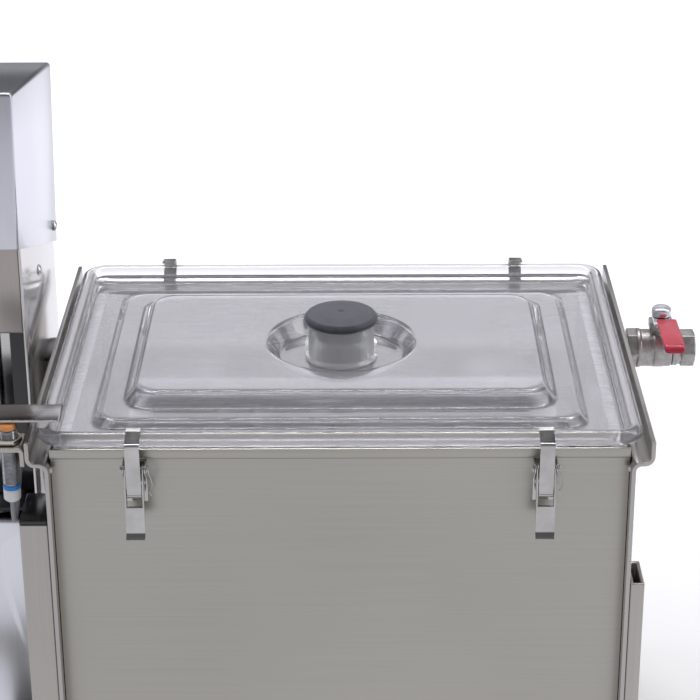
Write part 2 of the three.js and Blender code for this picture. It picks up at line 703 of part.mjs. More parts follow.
// A bevel gear blank: its pitch cone's tip is at the origin and its wide end below it.
function bevelBlank() {
  const wide = -gearOuter - coneShift;
  return tubeProfile([
    [spigotRadius + gap, wide - gearBack], [gearOuter - 5, wide - gearBack], [gearOuter, wide],
    [gearInner, -gearInner - coneShift], [spigotRadius + gap, -gearInner - coneShift]]);
}

function tubeProfile(profile) {
  return turned([...profile, profile[0]], 28);
}

const spigotStart = gearOuter + coneShift + gearBack + gap; // from the cones' tip
const spigotEnd = gearInner + coneShift;

function gearboxHousing() {
  const half = gearboxHalf;
  const wall = 3;
  const shaftBore = spigotStart - 1;
  return carve([box(-half, half, -half, half, -half, half)], [
    box(-half + wall, half - wall, -half - 1, half - wall, -half + wall, half - wall),
    rod(shaftRadius + gap, shaftBore, half + 10),
    layAlongX(rod(shaftRadius + gap, shaftBore, half + 10))]).translate(driveShaftX, 0, paddleAxisZ);
}

function gearMotor() {
  return carve([
    box(-motorHalf - 2, motorHalf, -motorHalf, motorHalf + 6, 0, 50),
    rod(30, 45, 118, 28).translate(0, 3, 0),
    rod(24, -8, 1, 28)],
  [rod(shaftRadius + gap, -20, 30)]).translate(driveShaftX, 0, motorBottom);
}

function driveShaft() {
  const shaft = turned([
    [0, spigotEnd], [spigotRadius, spigotEnd], [spigotRadius, spigotStart], [shaftRadius, spigotStart],
    [shaftRadius, motorBottom + 29 - paddleAxisZ], [0, motorBottom + 29 - paddleAxisZ]], 32);
  return shaft.translate(driveShaftX, 0, paddleAxisZ);
}

function addColumn(group) {
  group.add(piece('column_shell', columnShell(), brushedSteel));
  group.add(piece('column_upper_cover', frontCover(columnTop - 1, windowTop, 22), brushedSteel));
  const inspectionHole = alongY(disc(driveShaftX, paddleAxisZ, 4), columnFront - 5, columnFront + 5);
  group.add(piece('column_lower_cover',
    carve([frontCover(columnBottom, windowBottom, 5)], [inspectionHole]), whitePlastic));
  group.add(piece('drive_hood', driveHood(), brushedSteel));
  group.add(piece('gear_motor', gearMotor(), motorPaint));
  group.add(piece('gearbox_housing', gearboxHousing(), motorPaint));
  group.add(piece('drive_shaft', driveShaft(), polishedSteel));
  group.add(piece('bevel_pinion',
    bevelBlank().rotateX(Math.PI).translate(driveShaftX, 0, paddleAxisZ), latchSteel));
  group.add(piece('bevel_wheel',
    bevelBlank().rotateY(-Math.PI / 2).translate(driveShaftX, 0, paddleAxisZ), latchSteel));
}

// ---------------------------------------------------------------- churning paddle
const bladeSweep = troughHalfDepth - troughSheet - bladeClearance;
const bladeSheet = 3;

// A shaft with two crossed, windowed boards.
function paddle() {
  const right = troughInside - gap - 3;
  const left = driveShaftX + spigotStart;
  const shaft = layAlongX(turned([
    [0, driveShaftX + spigotEnd], [spigotRadius, driveShaftX + spigotEnd], [spigotRadius, left],
    [shaftRadius, left], [shaftRadius, right], [0, right]], 32));
  const boardEnd = troughInside - shaftSealLength - 8;
  const board = box(-boardEnd, boardEnd, -bladeSweep, bladeSweep, -bladeSheet / 2, bladeSheet / 2);
  const windows = [];
  const windowCount = 4;
  const pitch = (2 * boardEnd - 20) / windowCount;
  for (let i = 0; i < windowCount; i += 1) {
    const start = -boardEnd + 20 + i * pitch;
    [-1, 1].forEach((side) => {
      const near = side * 28;
      const far = side * (bladeSweep - 22);
      windows.push(box(start, start + pitch - 20, Math.min(near, far), Math.max(near, far), -10, 10));
    });
  }
  const first = carve([board], windows);
  const second = first.clone().rotateX(Math.PI / 2);
  return carve([shaft, first, second]).rotateX(Math.PI / 4).translate(0, 0, paddleAxisZ);
}

// ---------------------------------------------------------------- lid sensor
const bracketTop = -3.3;
const bracketSheet = 3;
const sensorTop = flagZ - 1.5;
const sensorTipStart = sensorTop - 4.5;
const sensorThreadEnd = -41;
const sensorEnd = -48.5;
const cableRadius = 2;
const glandLength = 12;

// The lead from the sensor: down, back past the post, and into the column's cable duct.
function sensorCable() {
  const glandFace = ductFront - gap - glandLength - gap;
  const route = new THREE.CatmullRomCurve3([
    new THREE.Vector3(sensorX, sensorY, sensorEnd - gap),
    new THREE.Vector3(sensorX, sensorY, -58),
    new THREE.Vector3(sensorX - 0.4, sensorY + 3.5, -65),
    new THREE.Vector3(sensorX - 1.5, sensorY + 12, -69.5),
    new THREE.Vector3(sensorX - 4, sensorY + 35, -73),
    new THREE.Vector3(sensorX - 8, sensorY + 70, -76),
    new THREE.Vector3(ductX, glandFace - 24.3, glandZ),
    new THREE.Vector3(ductX, glandFace - 8, glandZ),
    new THREE.Vector3(ductX, glandFace, glandZ)]);
  const section = new THREE.Shape();
  for (let i = 0; i < 10; i += 1) {
    const angle = (2 * Math.PI * i) / 10;
    const at = [cableRadius * Math.cos(angle), cableRadius * Math.sin(angle)];
    if (i === 0) section.moveTo(...at);
    else section.lineTo(...at);
  }
  return new THREE.ExtrudeGeometry(section, { extrudePath: route, steps: 28, bevelEnabled: false });
}

function addSensor(group) {
  const bracketSection = foldedSheet([
    [sensorX - 14, bracketTop - bracketSheet / 2],
    [-uprightOuter - gap - bracketSheet / 2, bracketTop - bracketSheet / 2],
    [-uprightOuter - gap - bracketSheet / 2, bracketTop - 14]], bracketSheet, 1);
  const bracketHole = rod(sensorRadius + gap, -20, 10).translate(sensorX, sensorY, 0);
  group.add(piece('sensor_bracket',
    carve([alongY(bracketSection, -endPlateHalfDepth, sensorY + 13)], [bracketHole]), brushedSteel));
  const sensor = new THREE.Group();
  sensor.position.set(sensorX, sensorY, 0);
  sensor.add(piece('sensor_tip', turned([
    [0, sensorTipStart + gap], [sensorRadius - 0.6, sensorTipStart + gap],
    [sensorRadius - 0.6, sensorTop - 0.6],
    [sensorRadius - 1.2, sensorTop], [0, sensorTop]]), orangePlastic));
  const body = rod(sensorRadius, sensorThreadEnd + gap, sensorTipStart, 32);
  sensor.add(piece('sensor_body', body, polishedSteel));
  const nut = carve([hexBar(17, bracketTop + gap, bracketTop + 4)], [rod(sensorRadius + gap, -20, 20)]);
  sensor.add(piece('sensor_nut', nut.rotateZ(Math.PI / 6), latchSteel));
  sensor.add(piece('sensor_end_cap', turned([
    [0, sensorEnd], [sensorRadius - 1.5, sensorEnd], [sensorRadius - 0.2, sensorEnd + 1.5],
    [sensorRadius - 0.2, sensorThreadEnd], [0, sensorThreadEnd]]), whitePlastic));
  group.add(sensor);
  group.add(piece('sensor_cable', sensorCable(), greyCable));
  const duct = box(ductX - ductWidth / 2, ductX + ductWidth / 2, ductFront, ductFront + 34,
    paddleAxisZ + gearboxHalf + 2, windowTop - 6);
  group.add(piece('cable_duct', duct, blackPlastic));
  const gland = turned([
    [0, 0], [7, 0], [7, 5], [5.6, 5.5], [5.6, 8], [4, glandLength], [0, glandLength]], 24);
  group.add(piece('cable_gland',
    gland.rotateX(Math.PI / 2).translate(ductX, ductFront - gap, glandZ), blackPlastic));
}

// ---------------------------------------------------------------- frame
const frameFront = -(endPlateHalfDepth - 3);
const postOffset = vatHalfWidth + 2 * gap;
const leftPost = [-postOffset - postWidth, -postOffset];
const rightPost = [postOffset, postOffset + rightPostWidth];
const frameLeft = farCheekX;
const frameRight = rightPost[1];
const capPlug = 12;
const tubeWall = 2;
const openTubeWall = 2.5;
const openTubeDepth = 40; // hollow of a short post, open at its top

// A rectangle in plan at the front or rear of the frame, reaching inwards by a depth.
function framePlan(side, depth) {
  const outer = side * -frameFront;
  return [outer, outer - side * depth].sort((a, b) => a - b);
}

// The welded frame: rails on the floor side, and four posts that hold the vat's ends.
function baseFrame() {
  const z0 = railTop - railSize;
  const joined = [];
  const pockets = [];
  [-1, 1].forEach((side) => {
    const rail = framePlan(side, railSize);
    const left = framePlan(side, postDepth);
    const right = framePlan(side, rightPostDepth);
    joined.push(box(frameLeft, frameRight, rail[0], rail[1], z0, railTop));
    joined.push(box(leftPost[0], leftPost[1], left[0], left[1], z0, leftPostTop));
    joined.push(box(rightPost[0], rightPost[1], right[0], right[1], z0, rightPostTop));
    pockets.push(box(leftPost[0] + tubeWall, leftPost[1] - tubeWall, left[0] + tubeWall, left[1] - tubeWall,
      leftPostTop - capPlug - 4, leftPostTop + 1));
    pockets.push(box(rightPost[0] + openTubeWall, rightPost[1] - openTubeWall,
      right[0] + openTubeWall, right[1] - openTubeWall, rightPostTop - openTubeDepth, rightPostTop + 1));
  });
  [frameLeft, cheekX - railSize - 6, frameRight - railSize].forEach((start) => {
    joined.push(box(start, start + railSize, frameFront + 1, -frameFront - 1, z0, railTop));
  });
  return carve(joined, pockets);
}

function postCap(side) {
  const post = framePlan(side, postDepth);
  const inset = tubeWall + gap;
  return carve([
    box(leftPost[0], leftPost[1], post[0], post[1], leftPostTop + gap, leftPostTop + gap + capThickness),
    box(leftPost[0] + inset, leftPost[1] - inset, post[0] + inset, post[1] - inset,
      leftPostTop - capPlug, leftPostTop + gap + 1)]);
}

function foot() {
  return turned([
    [0, 0], [footRadius, 0], [footRadius, 6], [footRadius - 2.5, 9], [11, 12], [8, 14], [8, footHeight],
    [0, footHeight]], 20);
}

function addFrame(group) {
  group.add(piece('base_frame', baseFrame(), brushedSteel));
  group.add(piece('post_cap_front', postCap(-1), blackPlastic));
  group.add(piece('post_cap_rear', postCap(1), blackPlastic));
  const footZ = railTop - railSize - gap - footHeight;
  [['front', frameFront + railSize / 2], ['rear', -frameFront - railSize / 2]].forEach(([sideName, y]) => {
    [['left', frameLeft + footRadius], ['right', frameRight - footRadius]].forEach(([endName, x]) => {
      group.add(piece(`foot_${sideName}_${endName}`, foot().translate(x, y, footZ), blackRubber));
    });
  });
  return footZ;
}

// ---------------------------------------------------------------- assembly
const machine = new THREE.Group();
machine.name = 'dairy_vat_machine';
addVat(machine);
addLid(machine);
addLatches(machine);
addValve(machine);
addColumn(machine);
machine.add(piece('churning_paddle', paddle(), brushedSteel));
addSensor(machine);
const floorZ = addFrame(machine);
const outline = [hoodFarSide, ballX + valveEnd];
machine.position.set(-(outline[0] + outline[1]) / 2, 0, -floorZ);

const placed = new THREE.Group();
placed.add(machine);

export default placed;
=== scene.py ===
import json
import math

import bmesh
import bpy
from mathutils import Matrix, Vector

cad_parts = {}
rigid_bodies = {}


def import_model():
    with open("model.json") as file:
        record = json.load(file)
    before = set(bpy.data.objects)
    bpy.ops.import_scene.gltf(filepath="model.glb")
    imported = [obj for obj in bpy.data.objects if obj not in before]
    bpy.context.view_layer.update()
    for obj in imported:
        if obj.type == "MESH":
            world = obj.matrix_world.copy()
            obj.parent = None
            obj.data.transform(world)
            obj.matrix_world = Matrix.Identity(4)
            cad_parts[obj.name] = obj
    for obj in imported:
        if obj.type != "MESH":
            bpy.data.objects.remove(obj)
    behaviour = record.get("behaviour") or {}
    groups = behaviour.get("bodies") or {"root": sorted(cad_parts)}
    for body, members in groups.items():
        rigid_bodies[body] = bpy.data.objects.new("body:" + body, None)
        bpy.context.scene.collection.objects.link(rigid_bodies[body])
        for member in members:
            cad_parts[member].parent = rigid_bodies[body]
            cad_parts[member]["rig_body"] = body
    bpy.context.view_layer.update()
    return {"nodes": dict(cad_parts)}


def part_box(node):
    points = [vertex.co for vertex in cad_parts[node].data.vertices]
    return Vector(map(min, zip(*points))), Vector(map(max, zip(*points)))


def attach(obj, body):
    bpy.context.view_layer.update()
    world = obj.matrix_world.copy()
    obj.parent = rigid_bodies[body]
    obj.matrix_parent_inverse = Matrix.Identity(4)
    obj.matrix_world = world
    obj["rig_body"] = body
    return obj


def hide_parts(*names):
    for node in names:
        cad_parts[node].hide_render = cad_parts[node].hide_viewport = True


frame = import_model()
nodes = frame["nodes"]
print("frame loaded,", len(nodes), "nodes")

mm = 0.001

# The lid's box gives the middle of the vat, and its raised panel stands a little over the vat's rim.
lidLow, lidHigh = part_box("clear_lid")
panelRise = 5.7 * mm
vatMid = Vector(((lidLow.x + lidHigh.x) / 2, (lidLow.y + lidHigh.y) / 2, lidHigh.z - panelRise))


# The camera, the floor and the light.

view = {
    "fromVat": (0.013206, -1.494383, 0.661945),  # the camera's place from the middle of the rim
    "pitch": 23.985,  # degrees, looking down
    "yaw": -0.254,
    "roll": -0.292,
    "lens": 112.55,
    "sensor": 36.0,
    "far": 60,
}


def makeCamera():
    pitch = math.radians(view["pitch"])
    yaw = math.radians(view["yaw"])
    roll = math.radians(view["roll"])
    forward = Vector((math.sin(yaw) * math.cos(pitch), math.cos(yaw) * math.cos(pitch), -math.sin(pitch)))
    right = Vector((math.cos(yaw), -math.sin(yaw), 0))
    up = right.cross(forward)
    turnedRight = right * math.cos(roll) + up * math.sin(roll)
    turnedUp = up * math.cos(roll) - right * math.sin(roll)
    rotation = Matrix((turnedRight, turnedUp, -forward)).transposed()
    data = bpy.data.cameras.new("camera")
    data.lens = view["lens"]
    data.sensor_width = view["sensor"]
    data.sensor_fit = "HORIZONTAL"
    data.clip_end = view["far"]
    camera = bpy.data.objects.new("camera", data)
    camera.matrix_world = Matrix.Translation(vatMid + Vector(view["fromVat"])) @ rotation.to_4x4()
    bpy.context.scene.collection.objects.link(camera)
    bpy.context.scene.camera = camera


studio = {
    "floorSize": 12.0,
    "floorColour": (0.86, 0.86, 0.86),
    "floorRough": 0.8,
    "floorShine": 0.15,
    # How bright the room is all the way round: 0 and 1 are level in front of the machine,
    # a quarter is straight down, a half is level behind it and three quarters straight up.
    "room": [(0.0, 0.33), (0.067, 0.40), (0.25, 0.36), (0.40, 0.57), (0.45, 0.60), (0.475, 0.30),
             (0.49, 0.05), (0.532, 0.05), (0.552, 0.50), (0.58, 0.54), (0.60, 0.05), (0.65, 0.06),
             (0.68, 0.60), (0.73, 0.70), (0.765, 0.24), (0.80, 0.06),
             (0.86, 0.08), (0.92, 0.18), (0.97, 0.23), (1.0, 0.33)],
    "roomStrength": 1.9,
    "roomTint": (0.975, 0.97, 1.05),
    "seenRoom": 0.6,
    "lamps": [
        # name, place, looks at, width, depth, watts, shows in gloss, lights matt surfaces
        ("key", (-0.4, -0.5, 2.3), (0.0, 0.0, 0.3), 1.8, 0.9, 8, False, True),
        ("strip", (0.0, 0.75, 2.35), (0.0, 0.0, 0.35), 2.4, 0.12, 16, True, False),
        ("backdrop", (0.0, 2.6, 2.3), (0.0, 2.3, 0.0), 3.4, 1.8, 110, False, True),
        ("rightStrip", (1.7, -0.2, 1.3), (0.1, 0.0, 0.3), 0.5, 1.5, 5, True, True),
    ],
}


def makeStudio():
    bm = bmesh.new()
    bmesh.ops.create_grid(bm, x_segments=1, y_segments=1, size=studio["floorSize"] / 2)
    mesh = bpy.data.meshes.new("floor")
    bm.to_mesh(mesh)
    bm.free()
    floor = bpy.data.objects.new("floor", mesh)
    bpy.context.scene.collection.objects.link(floor)
    paper = bpy.data.materials.new("floor_paper")
    paper.use_nodes = True
    shader = paper.node_tree.nodes["Principled BSDF"]
    shader.inputs["Base Color"].default_value = (*studio["floorColour"], 1)
    shader.inputs["Roughness"].default_value = studio["floorRough"]
    shader.inputs["Specular IOR Level"].default_value = studio["floorShine"]
    mesh.materials.append(paper)
    floor.visible_glossy = False

    for name, place, target, width, depth, watts, inGloss, onMatt in studio["lamps"]:
        data = bpy.data.lights.new(name, "AREA")
        data.shape = "RECTANGLE"
        data.size = width
        data.size_y = depth
        data.energy = watts
        lamp = bpy.data.objects.new(name, data)
        lamp.location = place
        lamp.rotation_euler = (Vector(target) - Vector(place)).to_track_quat("-Z", "Y").to_euler()
        lamp.visible_glossy = inGloss
        lamp.visible_transmission = inGloss
        lamp.visible_diffuse = onMatt
        bpy.context.scene.collection.objects.link(lamp)

    # Reflections meet the room's bands of light and dark, and the camera sees an even pale room.
    world = bpy.data.worlds.new("studio")
    bpy.context.scene.world = world
    world.use_nodes = True
    tree = world.node_tree
    background = tree.nodes["Background"]
    background.inputs["Strength"].default_value = studio["roomStrength"]
    coords = tree.nodes.new("ShaderNodeTexCoord")
    split = tree.nodes.new("ShaderNodeSeparateXYZ")
    tree.links.new(coords.outputs["Generated"], split.inputs[0])
    turn = tree.nodes.new("ShaderNodeMath")
    turn.operation = "ARCTAN2"
    tree.links.new(split.outputs["Z"], turn.inputs[0])
    tree.links.new(split.outputs["Y"], turn.inputs[1])
    share = tree.nodes.new("ShaderNodeMath")
    share.operation = "MULTIPLY_ADD"
    share.inputs[1].default_value = 1 / (2 * math.pi)
    share.inputs[2].default_value = 0.5  # level behind is the ramp's middle
    tree.links.new(turn.outputs["Value"], share.inputs[0])
    glow = tree.nodes.new("ShaderNodeValToRGB")
    stops = glow.color_ramp.elements
    while len(stops) < len(studio["room"]):
        stops.new(0.5)
    for stop, (place, level) in zip(stops, studio["room"]):
        stop.position = place
        stop.color = (*(level * tint for tint in studio["roomTint"]), 1)
    tree.links.new(share.outputs["Value"], glow.inputs["Fac"])
    rays = tree.nodes.new("ShaderNodeLightPath")
    seen = tree.nodes.new("ShaderNodeMix")
    seen.data_type = "RGBA"
    seen.inputs["B"].default_value = (studio["seenRoom"],) * 3 + (1,)
    tree.links.new(rays.outputs["Is Camera Ray"], seen.inputs["Factor"])
    tree.links.new(glow.outputs["Color"], seen.inputs["A"])
    tree.links.new(seen.outputs["Result"], background.inputs["Color"])
    bpy.context.scene.view_settings.view_transform = "Standard"


makeCamera()
makeStudio()
print("camera and studio ready")


# Materials.

def startMaterial(name):
    material = bpy.data.materials.new(name)
    material.use_nodes = True
    return material, material.node_tree, material.node_tree.nodes["Principled BSDF"]


def noiseOn(tree, scale, detail=4.0, stretch=(1, 1, 1)):
    coords = tree.nodes.new("ShaderNodeTexCoord")
    place = tree.nodes.new("ShaderNodeMapping")
    place.inputs["Scale"].default_value = stretch
    noise = tree.nodes.new("ShaderNodeTexNoise")
    noise.inputs["Scale"].default_value = scale
    noise.inputs["Detail"].default_value = detail
    tree.links.new(coords.outputs["Object"], place.inputs["Vector"])
    tree.links.new(place.outputs["Vector"], noise.inputs["Vector"])
    return noise.outputs["Fac"]


def spread(tree, value, low, high, fromLow=0.3, fromHigh=0.7):
    stretchNode = tree.nodes.new("ShaderNodeMapRange")
    stretchNode.inputs["From Min"].default_value = fromLow
    stretchNode.inputs["From Max"].default_value = fromHigh
    stretchNode.inputs["To Min"].default_value = low
    stretchNode.inputs["To Max"].default_value = high
    tree.links.new(value, stretchNode.inputs["Value"])
    return stretchNode.outputs["Result"]


def tones(tree, value, dark, light, low=0.3, high=0.7):
    ramp = tree.nodes.new("ShaderNodeValToRGB")
    ramp.color_ramp.elements[0].position = low
    ramp.color_ramp.elements[0].color = (*dark, 1)
    ramp.color_ramp.elements[1].position = high
    ramp.color_ramp.elements[1].color = (*light, 1)
    tree.links.new(value, ramp.inputs["Fac"])
    return ramp.outputs["Color"]


def bumpFrom(tree, height, shader, strength, distance):
    bump = tree.nodes.new("ShaderNodeBump")
    bump.inputs["Strength"].default_value = strength
    bump.inputs["Distance"].default_value = distance
    tree.links.new(height, bump.inputs["Height"])
    tree.links.new(bump.outputs["Normal"], shader.inputs["Normal"])


def blendHeights(tree, first, second, share):
    mix = tree.nodes.new("ShaderNodeMix")
    mix.data_type = "FLOAT"
    mix.inputs["Factor"].default_value = share
    tree.links.new(first, mix.inputs["A"])
    tree.links.new(second, mix.inputs["B"])
    return mix.outputs["Result"]


# Brushed sheet: fine parallel scratches, soft smears from wiping, and a slow change of tone.
sheetLooks = {
    "vat_sheet": {"dark": (0.43, 0.42, 0.37), "light": (0.51, 0.50, 0.445), "rough": (0.27, 0.36),
                  "grain": (7, 700, 700), "brushed": 0.55, "scratch": 0.10},
    "end_sheet": {"dark": (0.46, 0.44, 0.415), "light": (0.56, 0.54, 0.51), "rough": (0.24, 0.34),
                  "grain": (700, 7, 700), "brushed": 0.5, "scratch": 0.10},
    "inner_sheet": {"dark": (0.58, 0.57, 0.58), "light": (0.63, 0.62, 0.63), "rough": (0.22, 0.32),
                    "grain": (8, 500, 500), "brushed": 0.4, "scratch": 0.03},
    "hood_sheet": {"dark": (0.64, 0.655, 0.70), "light": (0.71, 0.725, 0.77), "rough": (0.16, 0.24),
                   "grain": (500, 500, 6), "brushed": 0.3, "scratch": 0.06},
    "column_sheet": {"dark": (0.60, 0.59, 0.57), "light": (0.70, 0.69, 0.67), "rough": (0.10, 0.17),
                     "grain": (600, 600, 7), "brushed": 0.4, "scratch": 0.05},
    "cover_sheet": {"dark": (0.40, 0.37, 0.335), "light": (0.50, 0.47, 0.43), "rough": (0.24, 0.34),
                    "grain": (700, 700, 8), "brushed": 0.6, "scratch": 0.12},
    "light_sheet": {"dark": (0.78, 0.80, 0.83), "light": (0.88, 0.90, 0.93), "rough": (0.24, 0.34),
                    "grain": (500, 500, 8), "brushed": 0.3, "scratch": 0.06},
    "frame_sheet": {"dark": (0.46, 0.445, 0.40), "light": (0.56, 0.54, 0.49), "rough": (0.28, 0.40),
                    "grain": (500, 500, 9), "brushed": 0.5, "scratch": 0.12},
    "flag_sheet": {"dark": (0.47, 0.45, 0.43), "light": (0.62, 0.60, 0.58), "rough": (0.14, 0.22),
                   "grain": (9, 800, 800), "brushed": 0.5, "scratch": 0.08},
}


steelGrain = {
    "grainDetail": 3.0,
    "wipedScale": 9.0,
    "wipedDetail": 5.0,
    "cloudScale": 3.2,
    "cloudDetail": 2.0,
    "wipedShare": 0.55,
    "grainShare": 0.35,
    "scratchDepth": 0.06 * mm,
}


def brushedSteel(name):
    look = sheetLooks[name]
    material, tree, shader = startMaterial(name)
    shader.inputs["Metallic"].default_value = 1.0
    shader.inputs["Anisotropic"].default_value = look["brushed"]
    grain = noiseOn(tree, 1.0, steelGrain["grainDetail"], look["grain"])
    wiped = noiseOn(tree, steelGrain["wipedScale"], steelGrain["wipedDetail"])
    cloud = noiseOn(tree, steelGrain["cloudScale"], steelGrain["cloudDetail"])
    smear = blendHeights(tree, grain, wiped, steelGrain["wipedShare"])
    clouded = blendHeights(tree, cloud, grain, steelGrain["grainShare"])
    tree.links.new(tones(tree, clouded, look["dark"], look["light"]), shader.inputs["Base Color"])
    tree.links.new(spread(tree, smear, *look["rough"]), shader.inputs["Roughness"])
    bumpFrom(tree, grain, shader, look["scratch"], steelGrain["scratchDepth"])
    return material


# Bright metal: turned, plated or cast.
metalLooks = {
    "latch_metal": {"dark": (0.50, 0.495, 0.47), "light": (0.64, 0.63, 0.60), "rough": (0.10, 0.17),
                    "scale": 160, "pits": 0.12, "depth": 0.10},
    "chrome": {"dark": (0.72, 0.73, 0.75), "light": (0.82, 0.83, 0.85), "rough": (0.05, 0.11),
               "scale": 240, "pits": 0.04, "depth": 0.05},
    "satin_chrome": {"dark": (0.74, 0.75, 0.77), "light": (0.84, 0.85, 0.87), "rough": (0.24, 0.34),
                     "scale": 240, "pits": 0.05, "depth": 0.05},
    # The sensor's thread: a darker copy of chrome, its colour darkened as painted shade for the dim
    # surroundings it reflects.
    "shaded_thread_chrome": {"dark": (0.38, 0.38, 0.40), "light": (0.56, 0.57, 0.59), "rough": (0.10, 0.18),
                      "scale": 300, "pits": 0.06, "depth": 0.05},
    "valve_casting": {"dark": (0.40, 0.385, 0.365), "light": (0.60, 0.58, 0.55), "rough": (0.32, 0.46),
                      "scale": 620, "pits": 0.40, "depth": 0.26},
    "turned_nut": {"dark": (0.60, 0.56, 0.48), "light": (0.72, 0.68, 0.60), "rough": (0.20, 0.30),
                   "scale": 300, "pits": 0.10, "depth": 0.08},
    "weld_metal": {"dark": (0.42, 0.41, 0.39), "light": (0.62, 0.61, 0.59), "rough": (0.22, 0.40),
                   "scale": 500, "pits": 0.5, "depth": 0.3},
    "gear_metal": {"dark": (0.36, 0.36, 0.37), "light": (0.48, 0.48, 0.49), "rough": (0.25, 0.38),
                   "scale": 200, "pits": 0.15, "depth": 0.12},
}


metalGrain = {
    "fineScale": 4,  # both scales are shares of the metal's own
    "broadScale": 0.4,
    "broadDetail": 3.0,
    "roughShare": 0.5,
    "pitShare": 0.35,
}


def brightMetal(name):
    look = metalLooks[name]
    material, tree, shader = startMaterial(name)
    shader.inputs["Metallic"].default_value = 1.0
    fine = noiseOn(tree, look["scale"] * metalGrain["fineScale"])
    broad = noiseOn(tree, look["scale"] * metalGrain["broadScale"], metalGrain["broadDetail"])
    tree.links.new(tones(tree, broad, look["dark"], look["light"]), shader.inputs["Base Color"])
    tree.links.new(spread(tree, blendHeights(tree, fine, broad, metalGrain["roughShare"]), *look["rough"]),
                   shader.inputs["Roughness"])
    pitted = blendHeights(tree, fine, broad, metalGrain["pitShare"])
    bumpFrom(tree, pitted, shader, look["pits"], look["depth"] * mm)
    return material


# Plastics, rubber and paint.
softLooks = {
    "stopper_rubber": {"dark": (0.052, 0.055, 0.067), "light": (0.076, 0.080, 0.096), "rough": (0.38, 0.54),
                       "scale": 420, "pits": 0.25, "depth": 0.10, "coat": 0.0, "sheen": 0.25},
    "foot_rubber": {"dark": (0.020, 0.020, 0.021), "light": (0.036, 0.036, 0.038), "rough": (0.55, 0.75),
                    "scale": 260, "pits": 0.35, "depth": 0.2, "coat": 0.0, "sheen": 0.2},
    "black_moulding": {"dark": (0.010, 0.010, 0.011), "light": (0.018, 0.018, 0.020), "rough": (0.10, 0.22),
                       "scale": 300, "pits": 0.12, "depth": 0.08, "coat": 0.4, "sheen": 0.0},
    "lever_vinyl": {"dark": (0.44, 0.012, 0.036), "light": (0.54, 0.022, 0.055), "rough": (0.30, 0.42),
                    "scale": 260, "pits": 0.15, "depth": 0.12, "coat": 0.3, "sheen": 0.15},
    "sensor_orange_plastic": {"dark": (0.78, 0.30, 0.075), "light": (0.88, 0.38, 0.11), "rough": (0.35, 0.5),
                              "scale": 500, "pits": 0.10, "depth": 0.05, "coat": 0.1, "sheen": 0.0},
    "sensor_blue_plastic": {"dark": (0.010, 0.20, 0.62), "light": (0.016, 0.26, 0.74), "rough": (0.3, 0.4),
                            "scale": 500, "pits": 0.08, "depth": 0.05, "coat": 0.2, "sheen": 0.0},
    "white_plastic": {"dark": (0.72, 0.74, 0.75), "light": (0.80, 0.82, 0.83), "rough": (0.3, 0.42),
                      "scale": 400, "pits": 0.08, "depth": 0.05, "coat": 0.1, "sheen": 0.0},
    "cable_sheath": {"dark": (0.25, 0.255, 0.265), "light": (0.33, 0.335, 0.345), "rough": (0.40, 0.55),
                     "scale": 350, "pits": 0.15, "depth": 0.08, "coat": 0.0, "sheen": 0.1},
    "motor_paint": {"dark": (0.020, 0.022, 0.026), "light": (0.034, 0.037, 0.042), "rough": (0.32, 0.48),
                    "scale": 240, "pits": 0.35, "depth": 0.2, "coat": 0.15, "sheen": 0.0},
}


softGrain = {
    "coatRough": 0.08,
    "sheenRough": 0.4,
    "fineScale": 4,  # both scales are shares of the plastic's own
    "broadScale": 0.25,
    "broadDetail": 3.0,
    "roughShare": 0.6,
}


def mouldedPlastic(name):
    look = softLooks[name]
    material, tree, shader = startMaterial(name)
    shader.inputs["Coat Weight"].default_value = look["coat"]
    shader.inputs["Coat Roughness"].default_value = softGrain["coatRough"]
    shader.inputs["Sheen Weight"].default_value = look["sheen"]
    shader.inputs["Sheen Roughness"].default_value = softGrain["sheenRough"]
    fine = noiseOn(tree, look["scale"] * softGrain["fineScale"])
    broad = noiseOn(tree, look["scale"] * softGrain["broadScale"], softGrain["broadDetail"])
    tree.links.new(tones(tree, broad, look["dark"], look["light"]), shader.inputs["Base Color"])
    tree.links.new(spread(tree, blendHeights(tree, fine, broad, softGrain["roughShare"]), *look["rough"]),
                   shader.inputs["Roughness"])
    bumpFrom(tree, fine, shader, look["pits"], look["depth"] * mm)
    return material


# Clear plastic: "clear" is how much of it lets light through, and "lets" how much lamp light gets past it.
clearLooks = {
    "lid_plastic": {"colour": (0.93, 0.925, 0.95), "rough": (0.045, 0.055), "coat": 1.0,
                    "clear": 0.93, "lets": 0.95, "wave": 0.006},
    "neck_plastic": {"colour": (0.94, 0.95, 0.96), "rough": (0.015, 0.04), "coat": 1.0,
                     "clear": 0.72, "lets": 0.95, "wave": 0.004},
}

clearGrain = {
    "bends": 1.49,
    "coatRough": 0.012,
    "wipedScale": 30.0,
    "wipedDetail": 5.0,
    "waveScale": 9.0,
    "waveDepth": 1.2 * mm,
}


